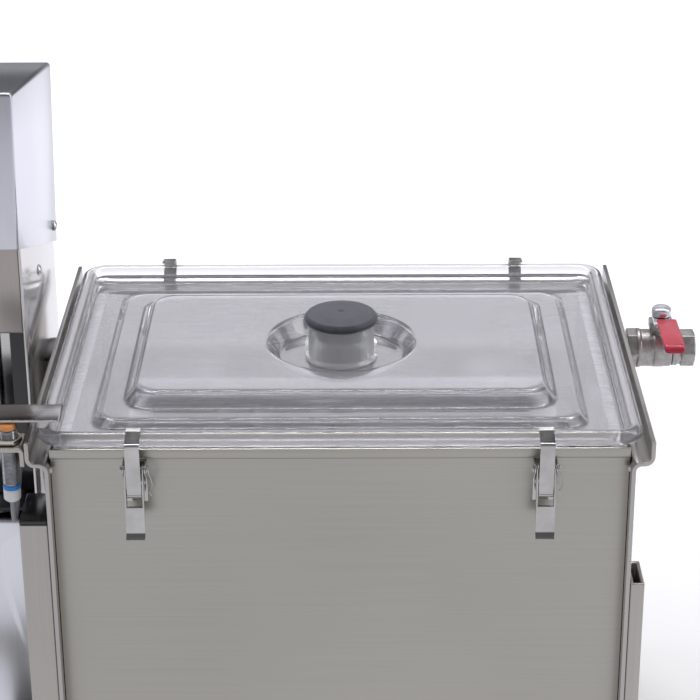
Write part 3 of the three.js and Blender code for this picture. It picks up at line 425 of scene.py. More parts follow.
def clearPlastic(name):
    look = clearLooks[name]
    material, tree, shader = startMaterial(name)
    shader.inputs["Base Color"].default_value = (*look["colour"], 1)
    shader.inputs["Transmission Weight"].default_value = look["clear"]
    shader.inputs["IOR"].default_value = clearGrain["bends"]
    shader.inputs["Coat Weight"].default_value = look["coat"]
    shader.inputs["Coat Roughness"].default_value = clearGrain["coatRough"]
    wiped = noiseOn(tree, clearGrain["wipedScale"], clearGrain["wipedDetail"])
    tree.links.new(spread(tree, wiped, *look["rough"]), shader.inputs["Roughness"])
    wave = noiseOn(tree, clearGrain["waveScale"], detail=0.0)
    bumpFrom(tree, wave, shader, look["wave"], clearGrain["waveDepth"])
    # Lamp light passes straight through instead of leaving a black shadow.
    rays = tree.nodes.new("ShaderNodeLightPath")
    through = tree.nodes.new("ShaderNodeBsdfTransparent")
    through.inputs["Color"].default_value = (look["lets"],) * 3 + (1,)
    either = tree.nodes.new("ShaderNodeMixShader")
    tree.links.new(rays.outputs["Is Shadow Ray"], either.inputs["Fac"])
    tree.links.new(shader.outputs["BSDF"], either.inputs[1])
    tree.links.new(through.outputs["BSDF"], either.inputs[2])
    tree.links.new(either.outputs["Shader"], tree.nodes["Material Output"].inputs["Surface"])
    return material


finishes = {name: brushedSteel(name) for name in sheetLooks}
finishes.update({name: brightMetal(name) for name in metalLooks})
finishes.update({name: mouldedPlastic(name) for name in softLooks})
finishes.update({name: clearPlastic(name) for name in clearLooks})
print("materials ready,", len(finishes))


# Helpers that make pieces.

def addPiece(bm, name, finish, body="machine", stands=(), sharp=32):
    mesh = bpy.data.meshes.new(name)
    bm.to_mesh(mesh)
    bm.free()
    mesh.polygons.foreach_set("use_smooth", [True] * len(mesh.polygons))
    mesh.set_sharp_from_angle(angle=math.radians(sharp))
    mesh.materials.append(finishes[finish])
    piece = bpy.data.objects.new(name, mesh)
    bpy.context.scene.collection.objects.link(piece)
    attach(piece, body)
    if stands:
        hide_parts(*stands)
    return piece


def addWire(name, points, radius, finish, roundness, smoothness=None, stands=()):
    curve = bpy.data.curves.new(name, "CURVE")
    curve.dimensions = "3D"
    curve.bevel_depth = radius
    curve.bevel_resolution = roundness
    if smoothness:
        curve.resolution_u = smoothness
    curve.use_fill_caps = True
    line = curve.splines.new("BEZIER")
    line.bezier_points.add(len(points) - 1)
    for point, place in zip(line.bezier_points, points):
        point.co = place
        point.handle_left_type = "AUTO"
        point.handle_right_type = "AUTO"
    wire = bpy.data.objects.new(name, curve)
    bpy.context.scene.collection.objects.link(wire)
    curve.materials.append(finishes[finish])
    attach(wire, "machine")
    if stands:
        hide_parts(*stands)


def bodyOf(nodeName):
    return nodes[nodeName]["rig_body"]


def halfWidthOf(nodeName):
    low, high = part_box(nodeName)
    return (high.x - low.x) / 2


def heightOf(nodeName):
    low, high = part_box(nodeName)
    return high.z - low.z


copyLimits = {"weld": 0.004 * mm, "flat": 0.6}  # degrees


# The middle of a node's underside.
def footOf(nodeName):
    low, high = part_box(nodeName)
    return Vector(((low.x + high.x) / 2, (low.y + high.y) / 2, low.z))


# A profile's points, from steps out and up in millimetres.
def stepsFrom(radius, height, steps):
    return [(radius + out * mm, height + up * mm) for out, up in steps]


def tidySurface(bm):
    bmesh.ops.remove_doubles(bm, verts=bm.verts, dist=0.002 * mm)
    bmesh.ops.recalc_face_normals(bm, faces=bm.faces)
    if bm.calc_volume(signed=True) < 0:
        bmesh.ops.reverse_faces(bm, faces=bm.faces)


def mergedCopy(nodeName):
    bm = bmesh.new()
    bm.from_mesh(nodes[nodeName].data)
    bmesh.ops.remove_doubles(bm, verts=bm.verts, dist=copyLimits["weld"])
    bmesh.ops.dissolve_limit(bm, angle_limit=math.radians(copyLimits["flat"]), verts=bm.verts, edges=bm.edges)
    return bm


def roundEdges(bm, width, steps=2, overAngle=30, wanted=lambda edge: True):
    limit = math.radians(overAngle)
    sharpEdges = [e for e in bm.edges if e.is_manifold and e.calc_face_angle() > limit and wanted(e)]
    bmesh.ops.bevel(bm, geom=sharpEdges, offset=width, offset_type="OFFSET", affect="EDGES",
                    segments=steps, profile=0.5, material=-1, clamp_overlap=False)


def softened(nodeName, finish, width, steps):
    bm = mergedCopy(nodeName)
    roundEdges(bm, width, steps)
    addPiece(bm, nodeName + "_finished", finish, bodyOf(nodeName), (nodeName,))


# Rounds and finishes nodes by a table of the finish, slot, rounding width and rounding steps of each.
def softenAll(table):
    for nodeName, (finish, slot, width, steps) in table.items():
        softened(nodeName, finish, width, steps)


def turnedSolid(profile, edge=0.4 * mm, edgeSteps=3, steps=48, closed=False):
    bm = bmesh.new()
    verts = [bm.verts.new((radius, 0, along)) for radius, along in profile]
    ends = len(verts) if closed else len(verts) - 1
    edges = [bm.edges.new((verts[i], verts[(i + 1) % len(verts)])) for i in range(ends)]
    inner = verts if closed else verts[1:-1]
    if edge:
        made = bmesh.ops.bevel(bm, geom=inner, offset=edge, offset_type="OFFSET", affect="VERTICES",
                               segments=edgeSteps, profile=0.5, material=-1)
        left = list(made["verts"]) + [v for v in verts if v.is_valid]
        edges = list({e for v in left for e in v.link_edges})
    line = list({v for e in edges for v in e.verts})
    bmesh.ops.spin(bm, geom=line + edges, cent=(0, 0, 0), axis=(0, 0, 1), angle=2 * math.pi,
                   steps=steps, use_merge=True, use_duplicate=False)
    tidySurface(bm)
    return bm


def placeOn(bm, centre, axis="Z"):
    turn = {"Z": Matrix.Identity(4), "X": Matrix.Rotation(math.pi / 2, 4, "Y"),
            "Y": Matrix.Rotation(-math.pi / 2, 4, "X")}[axis]
    bmesh.ops.transform(bm, matrix=Matrix.Translation(centre) @ turn, verts=bm.verts)


def join(first, *others):
    for other in others:
        mesh = bpy.data.meshes.new("joined")
        other.to_mesh(mesh)
        other.free()
        first.from_mesh(mesh)
        bpy.data.meshes.remove(mesh)
    return first


def hexBar(flats, low, high, edge=0.5 * mm):
    bm = bmesh.new()
    bmesh.ops.create_cone(bm, cap_ends=True, cap_tris=False, segments=6, radius1=flats / math.sqrt(3),
                          radius2=flats / math.sqrt(3), depth=high - low,
                          matrix=Matrix.Translation((0, 0, (low + high) / 2)))
    roundEdges(bm, edge, steps=3)
    return bm


# Folded and welded sheet.

sheetFinishes = {
    "end_plate_left": ("end_sheet", "vat_steel", 0.45 * mm, 3),
    "end_plate_right": ("end_sheet", "vat_steel", 0.45 * mm, 3),
    "vat_front_wall": ("vat_sheet", "vat_steel", 0.35 * mm, 3),
    "vat_rear_wall": ("vat_sheet", "vat_steel", 0.35 * mm, 3),
    "vat_outer_bottom": ("vat_sheet", "vat_steel", 0.3 * mm, 2),
    "milk_trough": ("inner_sheet", "trough_steel", 0.3 * mm, 2),
    "churning_paddle": ("inner_sheet", "paddle_steel", 0.5 * mm, 2),
    "column_shell": ("column_sheet", "column_steel", 0.4 * mm, 3),
    "column_upper_cover": ("cover_sheet", "column_steel", 0.4 * mm, 3),
    "column_lower_cover": ("light_sheet", "cover_light", 0.4 * mm, 3),
    "sensor_bracket": ("frame_sheet", "vat_steel", 0.5 * mm, 3),
    "sensor_flag": ("flag_sheet", "flag_steel", 0.3 * mm, 3),
    "base_frame": ("frame_sheet", "frame_steel", 0.8 * mm, 3),
    "post_cap_front": ("black_moulding", "black_plastic", 0.7 * mm, 3),
    "post_cap_rear": ("black_moulding", "black_plastic", 0.7 * mm, 3),
}


hoodSizes = {
    "bend": 3.4 * mm,
    "bendSteps": 5,
    "bendOver": 40,  # degrees
    "rim": 0.3 * mm,
    "rimOver": 60,
    "panelArea": 0.004,  # square metres
}


def finishHood():
    bm = mergedCopy("drive_hood")
    big = hoodSizes["panelArea"]
    roundEdges(bm, hoodSizes["bend"], hoodSizes["bendSteps"], hoodSizes["bendOver"],
               lambda e: e.is_convex and all(f.calc_area() > big for f in e.link_faces))
    roundEdges(bm, hoodSizes["rim"], overAngle=hoodSizes["rimOver"])
    addPiece(bm, "drive_hood_finished", "hood_sheet", "machine", ("drive_hood",), sharp=40)


# Small beads of weld where the front and rear walls meet the end plates.
weldSizes = {"length": 5 * mm, "width": 1.7 * mm, "rise": 0.9 * mm, "drop": 15.5 * mm}


def addWelds():
    length, width, rise = weldSizes["length"], weldSizes["width"], weldSizes["rise"]
    for side, wall in (("front", "vat_front_wall"), ("rear", "vat_rear_wall")):
        low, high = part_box(wall)
        face = low.y if side == "front" else high.y
        for end, across in (("left", low.x), ("right", high.x)):
            bm = bmesh.new()
            shape = Matrix.Translation((across, face, high.z - weldSizes["drop"])) @ Matrix.Diagonal(
                (width, rise, length / 2, 1))
            bmesh.ops.create_icosphere(bm, subdivisions=3, radius=1, matrix=shape)
            addPiece(bm, f"weld_{side}_{end}", "weld_metal", "machine", (), sharp=180)


softenAll(sheetFinishes)
finishHood()
addWelds()
print("sheet metal ready")


# The clear lid, its neck and the stopper.

lidSizes = {
    "sheet": 3 * mm,
    "bead": 5.7 * mm,
    "beadHeight": -1 * mm,  # the bead's middle, from the rim
    "gutter": -9 * mm,
    "plateau": -3.8 * mm,
    "panel": (144 * mm, 88 * mm, 15 * mm),  # half width, half depth, corner
    "plateauSize": (168 * mm, 114.5 * mm, 14 * mm),
    "beadFrom": 195,  # degrees round the bead's section
    "beadTurn": 290,
    "recess": 57.3 * mm,
    "recessFloor": 47 * mm,
    "floorHeight": -7.5 * mm,
    "hole": 21.7 * mm,
    "corner": 14 * mm,
    "cornerSteps": 8,
    "beadSteps": 14,
}

# The lid's upper side from the neck's hole outwards. Round steps go out and up, square ones
# go out in width, out in depth, wider at the corner and up, all in millimetres.
lidSteps = {
    "hole": [(0, 0), (1, 0)],
    "recessFloor": [(-4, 0), (-1.2, 0.15), (0.8, 1.3)],
    "recessRim": [(-2.6, -1.6), (-1.2, -0.25), (0.6, 0), (5, 0)],
    "panelRim": [(-3, -3, 0, 0), (0.4, 0.4, 1, -0.2), (2.6, 2.6, 2, -1.4)],
    "panelFoot": [(9, 10.6, 5, 1.5), (10.6, 12.6, 6, 0.3), (13, 14.6, 7, 0)],
    "plateauRim": [(-3, -3, 0, 0), (0.2, 0.2, 0, -0.15), (1.7, 1.7, 0, -1)],
    "plateauFoot": [(5.4, 5.4, 0, 0.9), (7, 7, 0, 0.1), (10, 10, 0, 0)],
    "beadFoot": [(-5, -5, 0, 0), (-1.4, -1.4, 0, 1.2)],
}


def roundedLoop(bm, halfX, halfY, corner, height, steps):
    corners = [bm.verts.new((x, y, height)) for x, y in
               ((halfX, halfY), (-halfX, halfY), (-halfX, -halfY), (halfX, -halfY))]
    bm.faces.new(corners)
    bmesh.ops.bevel(bm, geom=corners, offset=corner, offset_type="OFFSET", affect="VERTICES",
                    segments=steps, profile=0.5, material=-1)
    face = next(iter(bm.faces))
    edges = list(face.edges)
    bmesh.ops.delete(bm, geom=[face], context="FACES_ONLY")
    return edges


def circleLoop(bm, radius, height, steps):
    count = 4 * (steps + 1)
    turn = Matrix.Rotation(math.pi / count, 4, "Z")
    made = bmesh.ops.create_circle(bm, cap_ends=False, segments=count, radius=radius,
                                   matrix=Matrix.Translation((0, 0, height)) @ turn)
    return list({e for v in made["verts"] for e in v.link_edges})


# A loop's corners in order round the lid's middle, so that loops of two kinds match up.
def roundTheMiddle(edges):
    verts = {v for e in edges for v in e.verts}
    return sorted(verts, key=lambda v: math.atan2(v.co.y, v.co.x) % (2 * math.pi))


def roundRows(radius, height, steps):
    return [("round", out, 0, 0, up) for out, up in stepsFrom(radius, height, steps)]


def squareRows(halfX, halfY, corner, height, steps):
    return [("square", halfX + outX * mm, halfY + outY * mm, corner + wider * mm, height + up * mm)
            for outX, outY, wider, up in steps]


def makeLid():
    size = lidSizes
    steps = size["cornerSteps"]
    panel, plateau = size["panel"], size["plateauSize"]
    bead = size["bead"]
    beadX = (lidHigh.x - lidLow.x) / 2 - bead
    beadY = (lidHigh.y - lidLow.y) / 2 - bead
    rows = (roundRows(size["hole"], size["floorHeight"], lidSteps["hole"])
            + roundRows(size["recessFloor"], size["floorHeight"], lidSteps["recessFloor"])
            + roundRows(size["recess"], panelRise, lidSteps["recessRim"])
            + squareRows(*panel, panelRise, lidSteps["panelRim"])
            + squareRows(*panel, size["plateau"], lidSteps["panelFoot"])
            + squareRows(*plateau, size["plateau"], lidSteps["plateauRim"])
            + squareRows(*plateau, size["gutter"], lidSteps["plateauFoot"])
            + squareRows(beadX - bead, beadY - bead, size["corner"], size["gutter"], lidSteps["beadFoot"]))
    below = [(kind, x, y, corner, height - size["sheet"])
             for kind, x, y, corner, height in reversed(rows[:-1])]
    roundBead = []
    for step in range(size["beadSteps"] + 1):
        angle = math.radians(size["beadFrom"] - size["beadTurn"] * step / size["beadSteps"])
        out = bead * math.cos(angle)
        roundBead.append(("square", beadX + out, beadY + out, size["corner"] + out,
                          size["beadHeight"] + bead * math.sin(angle)))
    bm = bmesh.new()
    loops = []
    for kind, x, y, corner, height in rows + roundBead + below:
        if kind == "round":
            loops.append(circleLoop(bm, x, height, steps))
        else:
            loops.append(roundedLoop(bm, x, y, corner, height, steps))
    rings = [roundTheMiddle(edges) for edges in loops]
    count = len(rings[0])
    for here, after in zip(rings, rings[1:] + rings[:1]):
        for i in range(count):
            k = (i + 1) % count
            bm.faces.new((here[i], here[k], after[k], after[i]))
    tidySurface(bm)
    placeOn(bm, vatMid)
    lid = addPiece(bm, "clear_lid_moulded", "lid_plastic", "machine", ("clear_lid",),
                   sharp=180)
    smooth = lid.modifiers.new("smooth", "SUBSURF")
    smooth.levels = 2
    smooth.render_levels = 2


neckSizes = {
    "wall": 3 * mm,
    "foot": 2.2 * mm,
    "footHeight": 1.6 * mm,
    "footSlope": 1.8 * mm,
    "edge": 0.8 * mm,
    "steps": 72,
}


def makeNeck():
    radius = halfWidthOf("lid_neck")
    tall = heightOf("lid_neck")
    inner = radius - neckSizes["wall"]
    foot = radius + neckSizes["foot"]
    bm = turnedSolid([
        (inner, 0), (foot, 0), (foot, neckSizes["footHeight"]),
        (radius, neckSizes["footHeight"] + neckSizes["footSlope"]), (radius, tall), (inner, tall)],
        neckSizes["edge"], 4, neckSizes["steps"], closed=True)
    placeOn(bm, footOf("lid_neck"))
    addPiece(bm, "lid_neck_moulded", "neck_plastic", "machine", ("lid_neck",), sharp=60)


# The stopper's profile, as steps out and up in millimetres.
stopperSizes = {
    "plug": 20 * mm,
    "capHeight": 8 * mm,
    "plugEnd": [(-5, 0), (-4.5, 0.4), (-1.2, 0.4), (0, 2.4)],
    "plugTop": [(0, -3.4), (0.7, -2.6), (0.7, -0.02)],
    "capSide": [(-1.6, 0), (0, 1.4), (0, 3.8), (-2.4, 6.2)],
    "crownShare": 0.55,
    "crownDrop": 0.25 * mm,
    "dimple": [(3.6, 0), (2.2, -0.2), (1.1, -1.1), (0, -1.2)],
    "edge": 0.7 * mm,
    "steps": 80,
}


def makeStopper():
    cap = halfWidthOf("rubber_stopper")
    tall = heightOf("rubber_stopper")
    under = tall - stopperSizes["capHeight"]
    plug = stopperSizes["plug"]
    profile = ([(0, 0)] + stepsFrom(plug, 0, stopperSizes["plugEnd"])
               + stepsFrom(plug, under, stopperSizes["plugTop"])
               + stepsFrom(cap, under, stopperSizes["capSide"])
               + [(cap * stopperSizes["crownShare"], tall - stopperSizes["crownDrop"])]
               + stepsFrom(0, tall, stopperSizes["dimple"]))
    bm = turnedSolid(profile, stopperSizes["edge"], 4, stopperSizes["steps"])
    placeOn(bm, footOf("rubber_stopper"))
    addPiece(bm, "rubber_stopper_moulded", "stopper_rubber", bodyOf("rubber_stopper"),
             ("rubber_stopper",), sharp=50)


makeLid()
makeNeck()
makeStopper()
print("lid ready")


# The latches.

latchSizes = {
    "edge": 0.22 * mm,
    "steps": 2,
    "wire": 0.45 * mm,
    "wireFromPin": 0.2 * mm,
    # The catch wire's way from the pin's end: across, out from the wall and up, in millimetres.
    "wireWay": [(0, 0, 0), (0.6, 0.4, -4), (2.0, 0.6, -8), (2.4, 0.3, -12), (1.0, -1.0, -16),
                (0.2, -2.0, -18.5), (1.4, -3.0, -21.5)],
}


def finishLatches():
    for side in ("front", "rear"):
        for end in ("left", "right"):
            for part in ("base", "lever", "strap", "pin"):
                softened(f"latch_{part}_{side}_{end}", "latch_metal",
                         latchSizes["edge"], latchSizes["steps"])
            addCatchWire(side, end)


def addCatchWire(side, end):
    low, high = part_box(f"latch_pin_{side}_{end}")
    facing = -1 if side == "front" else 1
    pinX = high.x + latchSizes["wireFromPin"]
    pinY = (low.y + high.y) / 2
    pinZ = (low.z + high.z) / 2
    points = [(pinX + across * mm, pinY + facing * out * mm, pinZ + up * mm)
              for across, out, up in latchSizes["wireWay"]]
    addWire(f"latch_catch_wire_{side}_{end}", points, latchSizes["wire"], "latch_metal",
            roundness=3)


finishLatches()
print("latches ready")


# The ball valve.

# The valve's lengths run along its pipe, and its profiles are steps out and along in millimetres.
valveSizes = {
    "flats": 27 * mm,
    "barrel": 14.6 * mm,
    "bore": 7 * mm,
    "sleeve": 3.4 * mm,
    "bodyMouth": [(12.2, 0.6), (12.2, 7.6), (15.4, 7.6), (15.4, 9.8)],
    "bodyBelt": [(0, -6), (0.35, -5.2), (0.35, 1.5), (0, 2.4)],
    "bodyStart": [(0, 10.6)],
    "bodyEnd": [(0, -1.2), (-0.8, 0)],
    "boreStart": [(0, 0.6)],
    "stemTower": [(0, 5), (7.4, 5), (7.4, 15), (8.3, 15.4), (8.3, 16.5), (0, 16.5)],
    "bodyNut": 8.6 * mm,
    "bodyNutEdge": 0.9 * mm,
    "endNutTrim": 1.5 * mm,
    "endNut": (-11 * mm, -0.15 * mm),  # from and to, from the free end
    "endNutEdge": 1.0 * mm,
    "endBarrelTrim": 0.7 * mm,
    "endShoulder": [(0, 3.4), (0, 0)],
    "endNeck": 12.4 * mm,
    "endNeckFrom": 6.4 * mm,
    "endBore": 9.3 * mm,
    "endBoreStep": (-12 * mm, -11.4 * mm),
    "endMouth": [(9.4, -0.3), (11.6, -0.3), (11.6, 0), (10.2, 0)],
    "castEdge": 0.5 * mm,
    "steps": 64,
}


def valveCentre():
    low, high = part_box("valve_ball_and_stem")
    ballHalf = (high.x - low.x) / 2
    return Vector(((low.x + high.x) / 2, (low.y + high.y) / 2, low.z + ballHalf))


# A valve piece's start and end along the pipe, from the middle of the ball.
def alongValve(nodeName):
    low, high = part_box(nodeName)
    centre = valveCentre()
    return low.x - centre.x, high.x - centre.x


def makeValveBody():
    size = valveSizes
    start, end = alongValve("valve_body")
    barrel, bore = size["barrel"], size["bore"]
    profile = (stepsFrom(bore, start, size["boreStart"]) + stepsFrom(0, start, size["bodyMouth"])
               + stepsFrom(barrel, start, size["bodyStart"]) + stepsFrom(barrel, 0, size["bodyBelt"])
               + stepsFrom(barrel, end, size["bodyEnd"]) + [(bore, end)])
    shell = turnedSolid(profile, size["castEdge"], steps=size["steps"], closed=True)
    ring = hexBar(size["flats"], start, start + size["bodyNut"], size["bodyNutEdge"])
    tower = turnedSolid(stepsFrom(0, 0, size["stemTower"]), size["castEdge"])
    placeOn(shell, (0, 0, 0), "X")
    placeOn(ring, (0, 0, 0), "X")
    bm = join(shell, ring, tower)
    placeOn(bm, valveCentre())
    addPiece(bm, "valve_body_cast", "valve_casting", "machine", ("valve_body",), sharp=40)


def makeValveEnd():
    size = valveSizes
    start, end = alongValve("valve_end_piece")
    stepLow, stepHigh = size["endBoreStep"]
    nutLow, nutHigh = size["endNut"]
    neck = size["endNeck"]
    profile = ([(size["endBore"], end), (neck, end), (neck, start + size["endNeckFrom"])]
               + stepsFrom(size["barrel"] - size["endBarrelTrim"], start, size["endShoulder"])
               + [(size["bore"], start), (size["bore"], end + stepLow), (size["endBore"], end + stepHigh)])
    shell = turnedSolid(profile, steps=size["steps"], closed=True)
    ring = hexBar(size["flats"] - size["endNutTrim"], end + nutLow, end + nutHigh, size["endNutEdge"])
    mouth = turnedSolid(stepsFrom(0, end, size["endMouth"]), edge=0, steps=size["steps"], closed=True)
    bm = join(shell, ring, mouth)
    placeOn(bm, (0, 0, 0), "X")
    placeOn(bm, valveCentre())
    addPiece(bm, "valve_end_cast", "valve_casting", "machine", ("valve_end_piece",), sharp=40)


leverNutSizes = {
    "hole": 3.4 * mm,
    "sideShare": 0.6,
    "domeShare": 0.86,
    "dome": 1 * mm,
    "crown": 3 * mm,
    "edge": 1.0 * mm,
}


def makeLeverNut():
    radius = halfWidthOf("valve_lever_nut")
    tall = heightOf("valve_lever_nut")
    bm = turnedSolid([
        (leverNutSizes["hole"], 0), (radius, 0), (radius, tall * leverNutSizes["sideShare"]),
        (radius - leverNutSizes["dome"], tall * leverNutSizes["domeShare"]),
        (leverNutSizes["crown"], tall), (0, tall)], leverNutSizes["edge"], 4)
    placeOn(bm, footOf("valve_lever_nut"))
    addPiece(bm, "valve_lever_nut_turned", "satin_chrome", "valve_handle", ("valve_lever_nut",),
             sharp=45)


leverSizes = {
    "plate": 2.2 * mm,
    "width": 15 * mm,
    "hub": 7.4 * mm,
    "sleeveFrom": 8.5 * mm,  # the vinyl starts this far in front of the stem
    "bendFrom": 5 * mm,  # the tip turns down over this length
    "bendTurn": 68,
    "bendSteps": 5,
    "hubRound": 0.98,  # of the hub's radius
    "edge": 1.1 * mm,
    "edgeOver": 50,  # degrees
    "overlap": 12 * mm,  # the plate runs this far into the vinyl
    "plateCorner": 3 * mm,
    "plateEdge": 0.4 * mm,
    "sleeveOut": 0.3 * mm,  # the vinyl stands out past the plate by this
    "sleevePast": 1.2 * mm,
    "sleeveCorners": (1.5 * mm, 3.2 * mm),  # at the stem, at the tip
}


def leverSlab(halfWidth, back, front, low, high, backCorner, frontCorner):
    bm = bmesh.new()
    corners = [bm.verts.new((x, y, low)) for x, y in
               ((halfWidth, back), (-halfWidth, back), (-halfWidth, front), (halfWidth, front))]
    bm.faces.new(corners)
    for pair, corner in ((corners[:2], backCorner), (corners[2:], frontCorner)):
        bmesh.ops.bevel(bm, geom=pair, offset=corner, offset_type="OFFSET", affect="VERTICES",
                        segments=6, profile=0.5, material=-1)
    face = next(iter(bm.faces))
    raised = bmesh.ops.extrude_face_region(bm, geom=[face])
    lifted = [v for v in raised["geom"] if isinstance(v, bmesh.types.BMVert)]
    bmesh.ops.translate(bm, verts=lifted, vec=(0, 0, high - low))
    bmesh.ops.recalc_face_normals(bm, faces=bm.faces)
    return bm


def bendTip(bm, front, hingeHeight):
    step = leverSizes["bendFrom"] / leverSizes["bendSteps"]
    lines = [front + leverSizes["bendFrom"] - i * step for i in range(leverSizes["bendSteps"])]
    for line in lines:
        bmesh.ops.bisect_plane(bm, geom=bm.verts[:] + bm.edges[:] + bm.faces[:], plane_co=(0, line, 0),
                               plane_no=(0, 1, 0))
    part = math.radians(leverSizes["bendTurn"] / leverSizes["bendSteps"])
    for line in reversed(lines):
        ahead = [v for v in bm.verts if v.co.y < line - 0.001 * mm]
        bmesh.ops.rotate(bm, verts=ahead, cent=(0, line, hingeHeight), matrix=Matrix.Rotation(part, 3, "X"))


def makeLever():
    size = leverSizes
    low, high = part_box("valve_lever")
    centre = valveCentre()
    halfWidth = size["width"] / 2
    grip = Vector((high.x - halfWidth, centre.y, centre.z))
    front = low.y - centre.y
    top = high.z - centre.z
    thick, hub = size["plate"], size["hub"]
    plate = leverSlab(hub, hub, -size["sleeveFrom"] - size["overlap"], top - thick, top,
                      hub * size["hubRound"], size["plateCorner"])
    roundEdges(plate, size["plateEdge"])
    placeOn(plate, centre)
    addPiece(plate, "valve_lever_plate", "chrome", "valve_handle", (), sharp=40)

    half = valveSizes["sleeve"] / 2
    middle = top - thick / 2
    tip = front - size["sleevePast"]
    stemCorner, tipCorner = size["sleeveCorners"]
    sleeve = leverSlab(halfWidth + size["sleeveOut"], -size["sleeveFrom"], tip,
                       middle - half, middle + half, stemCorner, tipCorner)
    roundEdges(sleeve, size["edge"], 4, size["edgeOver"])
    bendTip(sleeve, tip, middle - half)
    placeOn(sleeve, grip)
    addPiece(sleeve, "valve_lever_sleeve", "lever_vinyl", "valve_handle", ("valve_lever",),
             sharp=50)


valveFinishes = {
    "valve_packing_nut": ("valve_casting", "valve_nickel", 0.4 * mm, 3),
    "valve_nipple": ("chrome", "valve_chrome", 0.3 * mm, 2),
    "valve_ball_and_stem": ("chrome", "valve_chrome", 0.2 * mm, 2),
}

makeValveBody()
makeValveEnd()
makeLeverNut()
makeLever()
softenAll(valveFinishes)
print("valve ready")


# The lid sensor and its lead.

sensorSizes = {
    "pitch": 1.0 * mm,
    "thread": 0.45 * mm,
    "threadFrom": 0.4 * mm,
    "threadTo": 1.2 * mm,
    "runout": 0.3 * mm,
    "rim": 0.8 * mm,
    "crest": (0.4, 0.6),  # where the thread's crest starts and ends, as shares of its pitch
    "tipEdge": 0.9 * mm,
    "tipRound": 0.35 * mm,
    "capRound": 0.5 * mm,
    "ringRound": 0.25 * mm,
    "nutRound": 0.5 * mm,
    "steps": 40,
    "capEdge": (1.7 * mm, 1.9 * mm),
    "ringGap": 0.05 * mm,
    "ring": 3.2 * mm,
    "sleeve": 5.4 * mm,  # the end cap's sleeve reaches this far up over the thread
    "cable": 2 * mm,
}

# The lead's route in the vat's own frame, in millimetres from the middle of the rim.
cableRoute = [
    (-227, -151, -48.85), (-227, -151, -58), (-227.4, -147.5, -65), (-228.5, -139, -69.5),
    (-231, -116, -73), (-235, -81, -76), (-238.5, -45, -78), (-238.5, -28.7, -78), (-238.5, -20.7, -78)]


def makeSensor():
    size = sensorSizes
    low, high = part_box("sensor_body")
    axis = Vector(((low.x + high.x) / 2, (low.y + high.y) / 2, 0))
    radius = halfWidthOf("sensor_body")
    root = radius - size["thread"]
    threadLow = low.z + size["sleeve"]
    profile = [(0, threadLow), (root, threadLow)]
    turns = int((high.z - threadLow - size["threadTo"]) / size["pitch"])
    for i in range(turns):
        base = threadLow + size["threadFrom"] + i * size["pitch"]
        profile.append((root, base))
        profile += [(radius, base + size["pitch"] * share) for share in size["crest"]]
    profile += [(root, high.z - size["runout"]), (radius - size["rim"], high.z), (0, high.z)]
    bm = turnedSolid(profile, edge=0)
    placeOn(bm, axis)
    # The thread's darker chrome is painted shade, not a different metal.
    addPiece(bm, "sensor_body_threaded", "shaded_thread_chrome", "machine", ("sensor_body",),
             sharp=50)

    low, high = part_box("sensor_tip")
    tipRadius = halfWidthOf("sensor_tip")
    tipEdge = size["tipEdge"]
    tip = turnedSolid([(0, low.z), (tipRadius, low.z), (tipRadius, high.z - tipEdge),
                       (tipRadius - tipEdge, high.z), (0, high.z)],
                      edge=size["tipRound"], steps=size["steps"])
    placeOn(tip, axis)
    addPiece(tip, "sensor_tip_moulded", "sensor_orange_plastic", "machine", ("sensor_tip",))

    low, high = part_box("sensor_end_cap")
    edgeIn, edgeUp = size["capEdge"]
    sleeveTop = high.z + size["sleeve"]
    ringLow = sleeveTop - size["ring"]
    cap = turnedSolid([(0, low.z), (halfWidthOf("sensor_end_cap") - edgeIn, low.z), (radius, low.z + edgeUp),
                       (radius, ringLow), (0, ringLow)], edge=size["capRound"], steps=size["steps"])
    placeOn(cap, axis)
    addPiece(cap, "sensor_end_cap_moulded", "white_plastic", "machine", ("sensor_end_cap",))
    ringLow += size["ringGap"]
    ring = turnedSolid([(0, ringLow), (radius, ringLow), (radius, sleeveTop), (0, sleeveTop)],
                       edge=size["ringRound"], steps=size["steps"])
    placeOn(ring, axis)
    addPiece(ring, "sensor_band", "sensor_blue_plastic")
    softened("sensor_nut", "turned_nut", size["nutRound"], 3)


def makeCable():
    points = [vatMid + Vector(place) * mm for place in cableRoute]
    addWire("sensor_lead", points, sensorSizes["cable"], "cable_sheath",
            roundness=5, smoothness=16, stands=("sensor_cable",))


cableFinishes = {
    "cable_gland": ("black_moulding", "black_plastic", 0.4 * mm, 3),
    "cable_duct": ("black_moulding", "black_plastic", 0.8 * mm, 3),
}

makeSensor()
makeCable()
softenAll(cableFinishes)
print("sensor ready")


# The drive, and the screws on its covers.

driveFinishes = {
    "gear_motor": ("motor_paint", "drive_paint", 1.2 * mm, 3),
    "gearbox_housing": ("motor_paint", "drive_paint", 1.0 * mm, 3),
    "drive_shaft": ("chrome", "shaft_chrome", 0.4 * mm, 2),
    "bevel_pinion": ("gear_metal", "gear_steel", 0.4 * mm, 2),
    "bevel_wheel": ("gear_metal", "gear_steel", 0.4 * mm, 2),
    "shaft_seal": ("foot_rubber", "black_rubber", 0.6 * mm, 3),
    "paddle_bearing": ("white_plastic", "bearing_white", 0.6 * mm, 3),
}


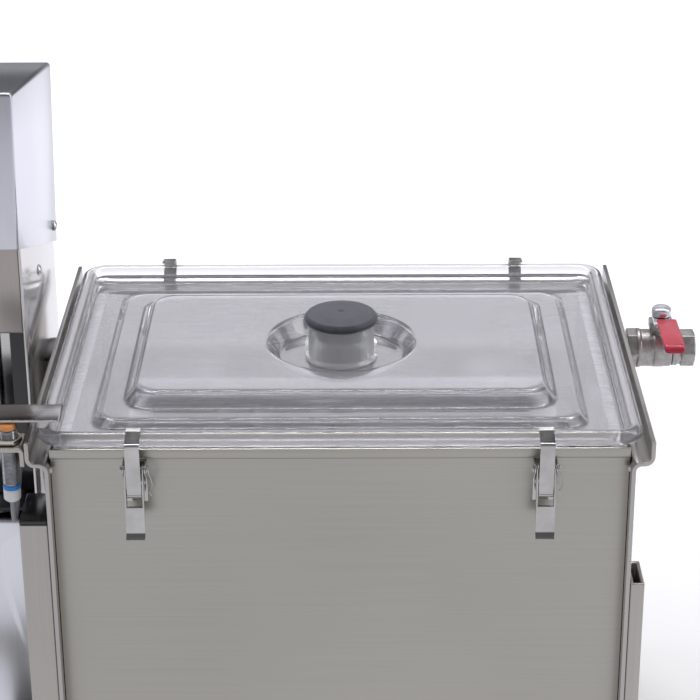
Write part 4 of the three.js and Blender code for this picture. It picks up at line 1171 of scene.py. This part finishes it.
screwSizes = {
    "head": 4.2 * mm,
    "rim": 0.6 * mm,
    "rise": 2.4 * mm,
    "socket": 1.5 * mm,
    "socketLip": 0.5 * mm,
    "domeShares": (0.72, 0.8),  # of the head and of the rise
    "socketShares": (0.9, 0.45, 0.4),  # of the socket, of the rise at its wall, of the rise at its middle
    "edge": 0.3 * mm,
    "onHood": (119 * mm, 52 * mm),  # along Y, and up from the vat's rim
    "onColumn": (36 * mm, 48 * mm),
}


def addScrew(name, place):
    head, rise, socket = screwSizes["head"], screwSizes["rise"], screwSizes["socket"]
    domeOut, domeUp = screwSizes["domeShares"]
    socketIn, wallUp, middleUp = screwSizes["socketShares"]
    bm = turnedSolid([
        (0, 0), (head, 0), (head, screwSizes["rim"]), (head * domeOut, rise * domeUp),
        (socket + screwSizes["socketLip"], rise), (socket, rise), (socket * socketIn, rise * wallUp),
        (0, rise * middleUp)], screwSizes["edge"], steps=32)
    placeOn(bm, place, "X")
    addPiece(bm, name, "chrome", "machine", (), sharp=40)


def addScrews():
    for name, nodeName, place in (("hood_screw", "drive_hood", "onHood"),
                                  ("column_screw", "column_shell", "onColumn")):
        across, up = screwSizes[place]
        addScrew(name, (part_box(nodeName)[1].x, across, vatMid.z + up))


softenAll(driveFinishes)
addScrews()
print("drive ready")


# The feet.

# The foot's profile, as steps out and up in millimetres: its pad, and then its stem.
footSizes = {
    "pad": [(-3, 0), (-2.4, 0.8), (-1, 0.8), (0, 2), (0, 6), (-2.5, 9)],
    "stem": [(11, 12), (8, 14)],
    "stemRadius": 8 * mm,
    "edge": 0.7 * mm,
}


def makeFeet():
    for side in ("front", "rear"):
        for end in ("left", "right"):
            name = f"foot_{side}_{end}"
            tall = heightOf(name)
            profile = ([(0, 0)] + stepsFrom(halfWidthOf(name), 0, footSizes["pad"])
                       + stepsFrom(0, 0, footSizes["stem"]) + [(footSizes["stemRadius"], tall), (0, tall)])
            bm = turnedSolid(profile, footSizes["edge"])
            placeOn(bm, footOf(name))
            addPiece(bm, name + "_moulded", "foot_rubber", "machine", (name,), sharp=45)


makeFeet()
print("feet ready")
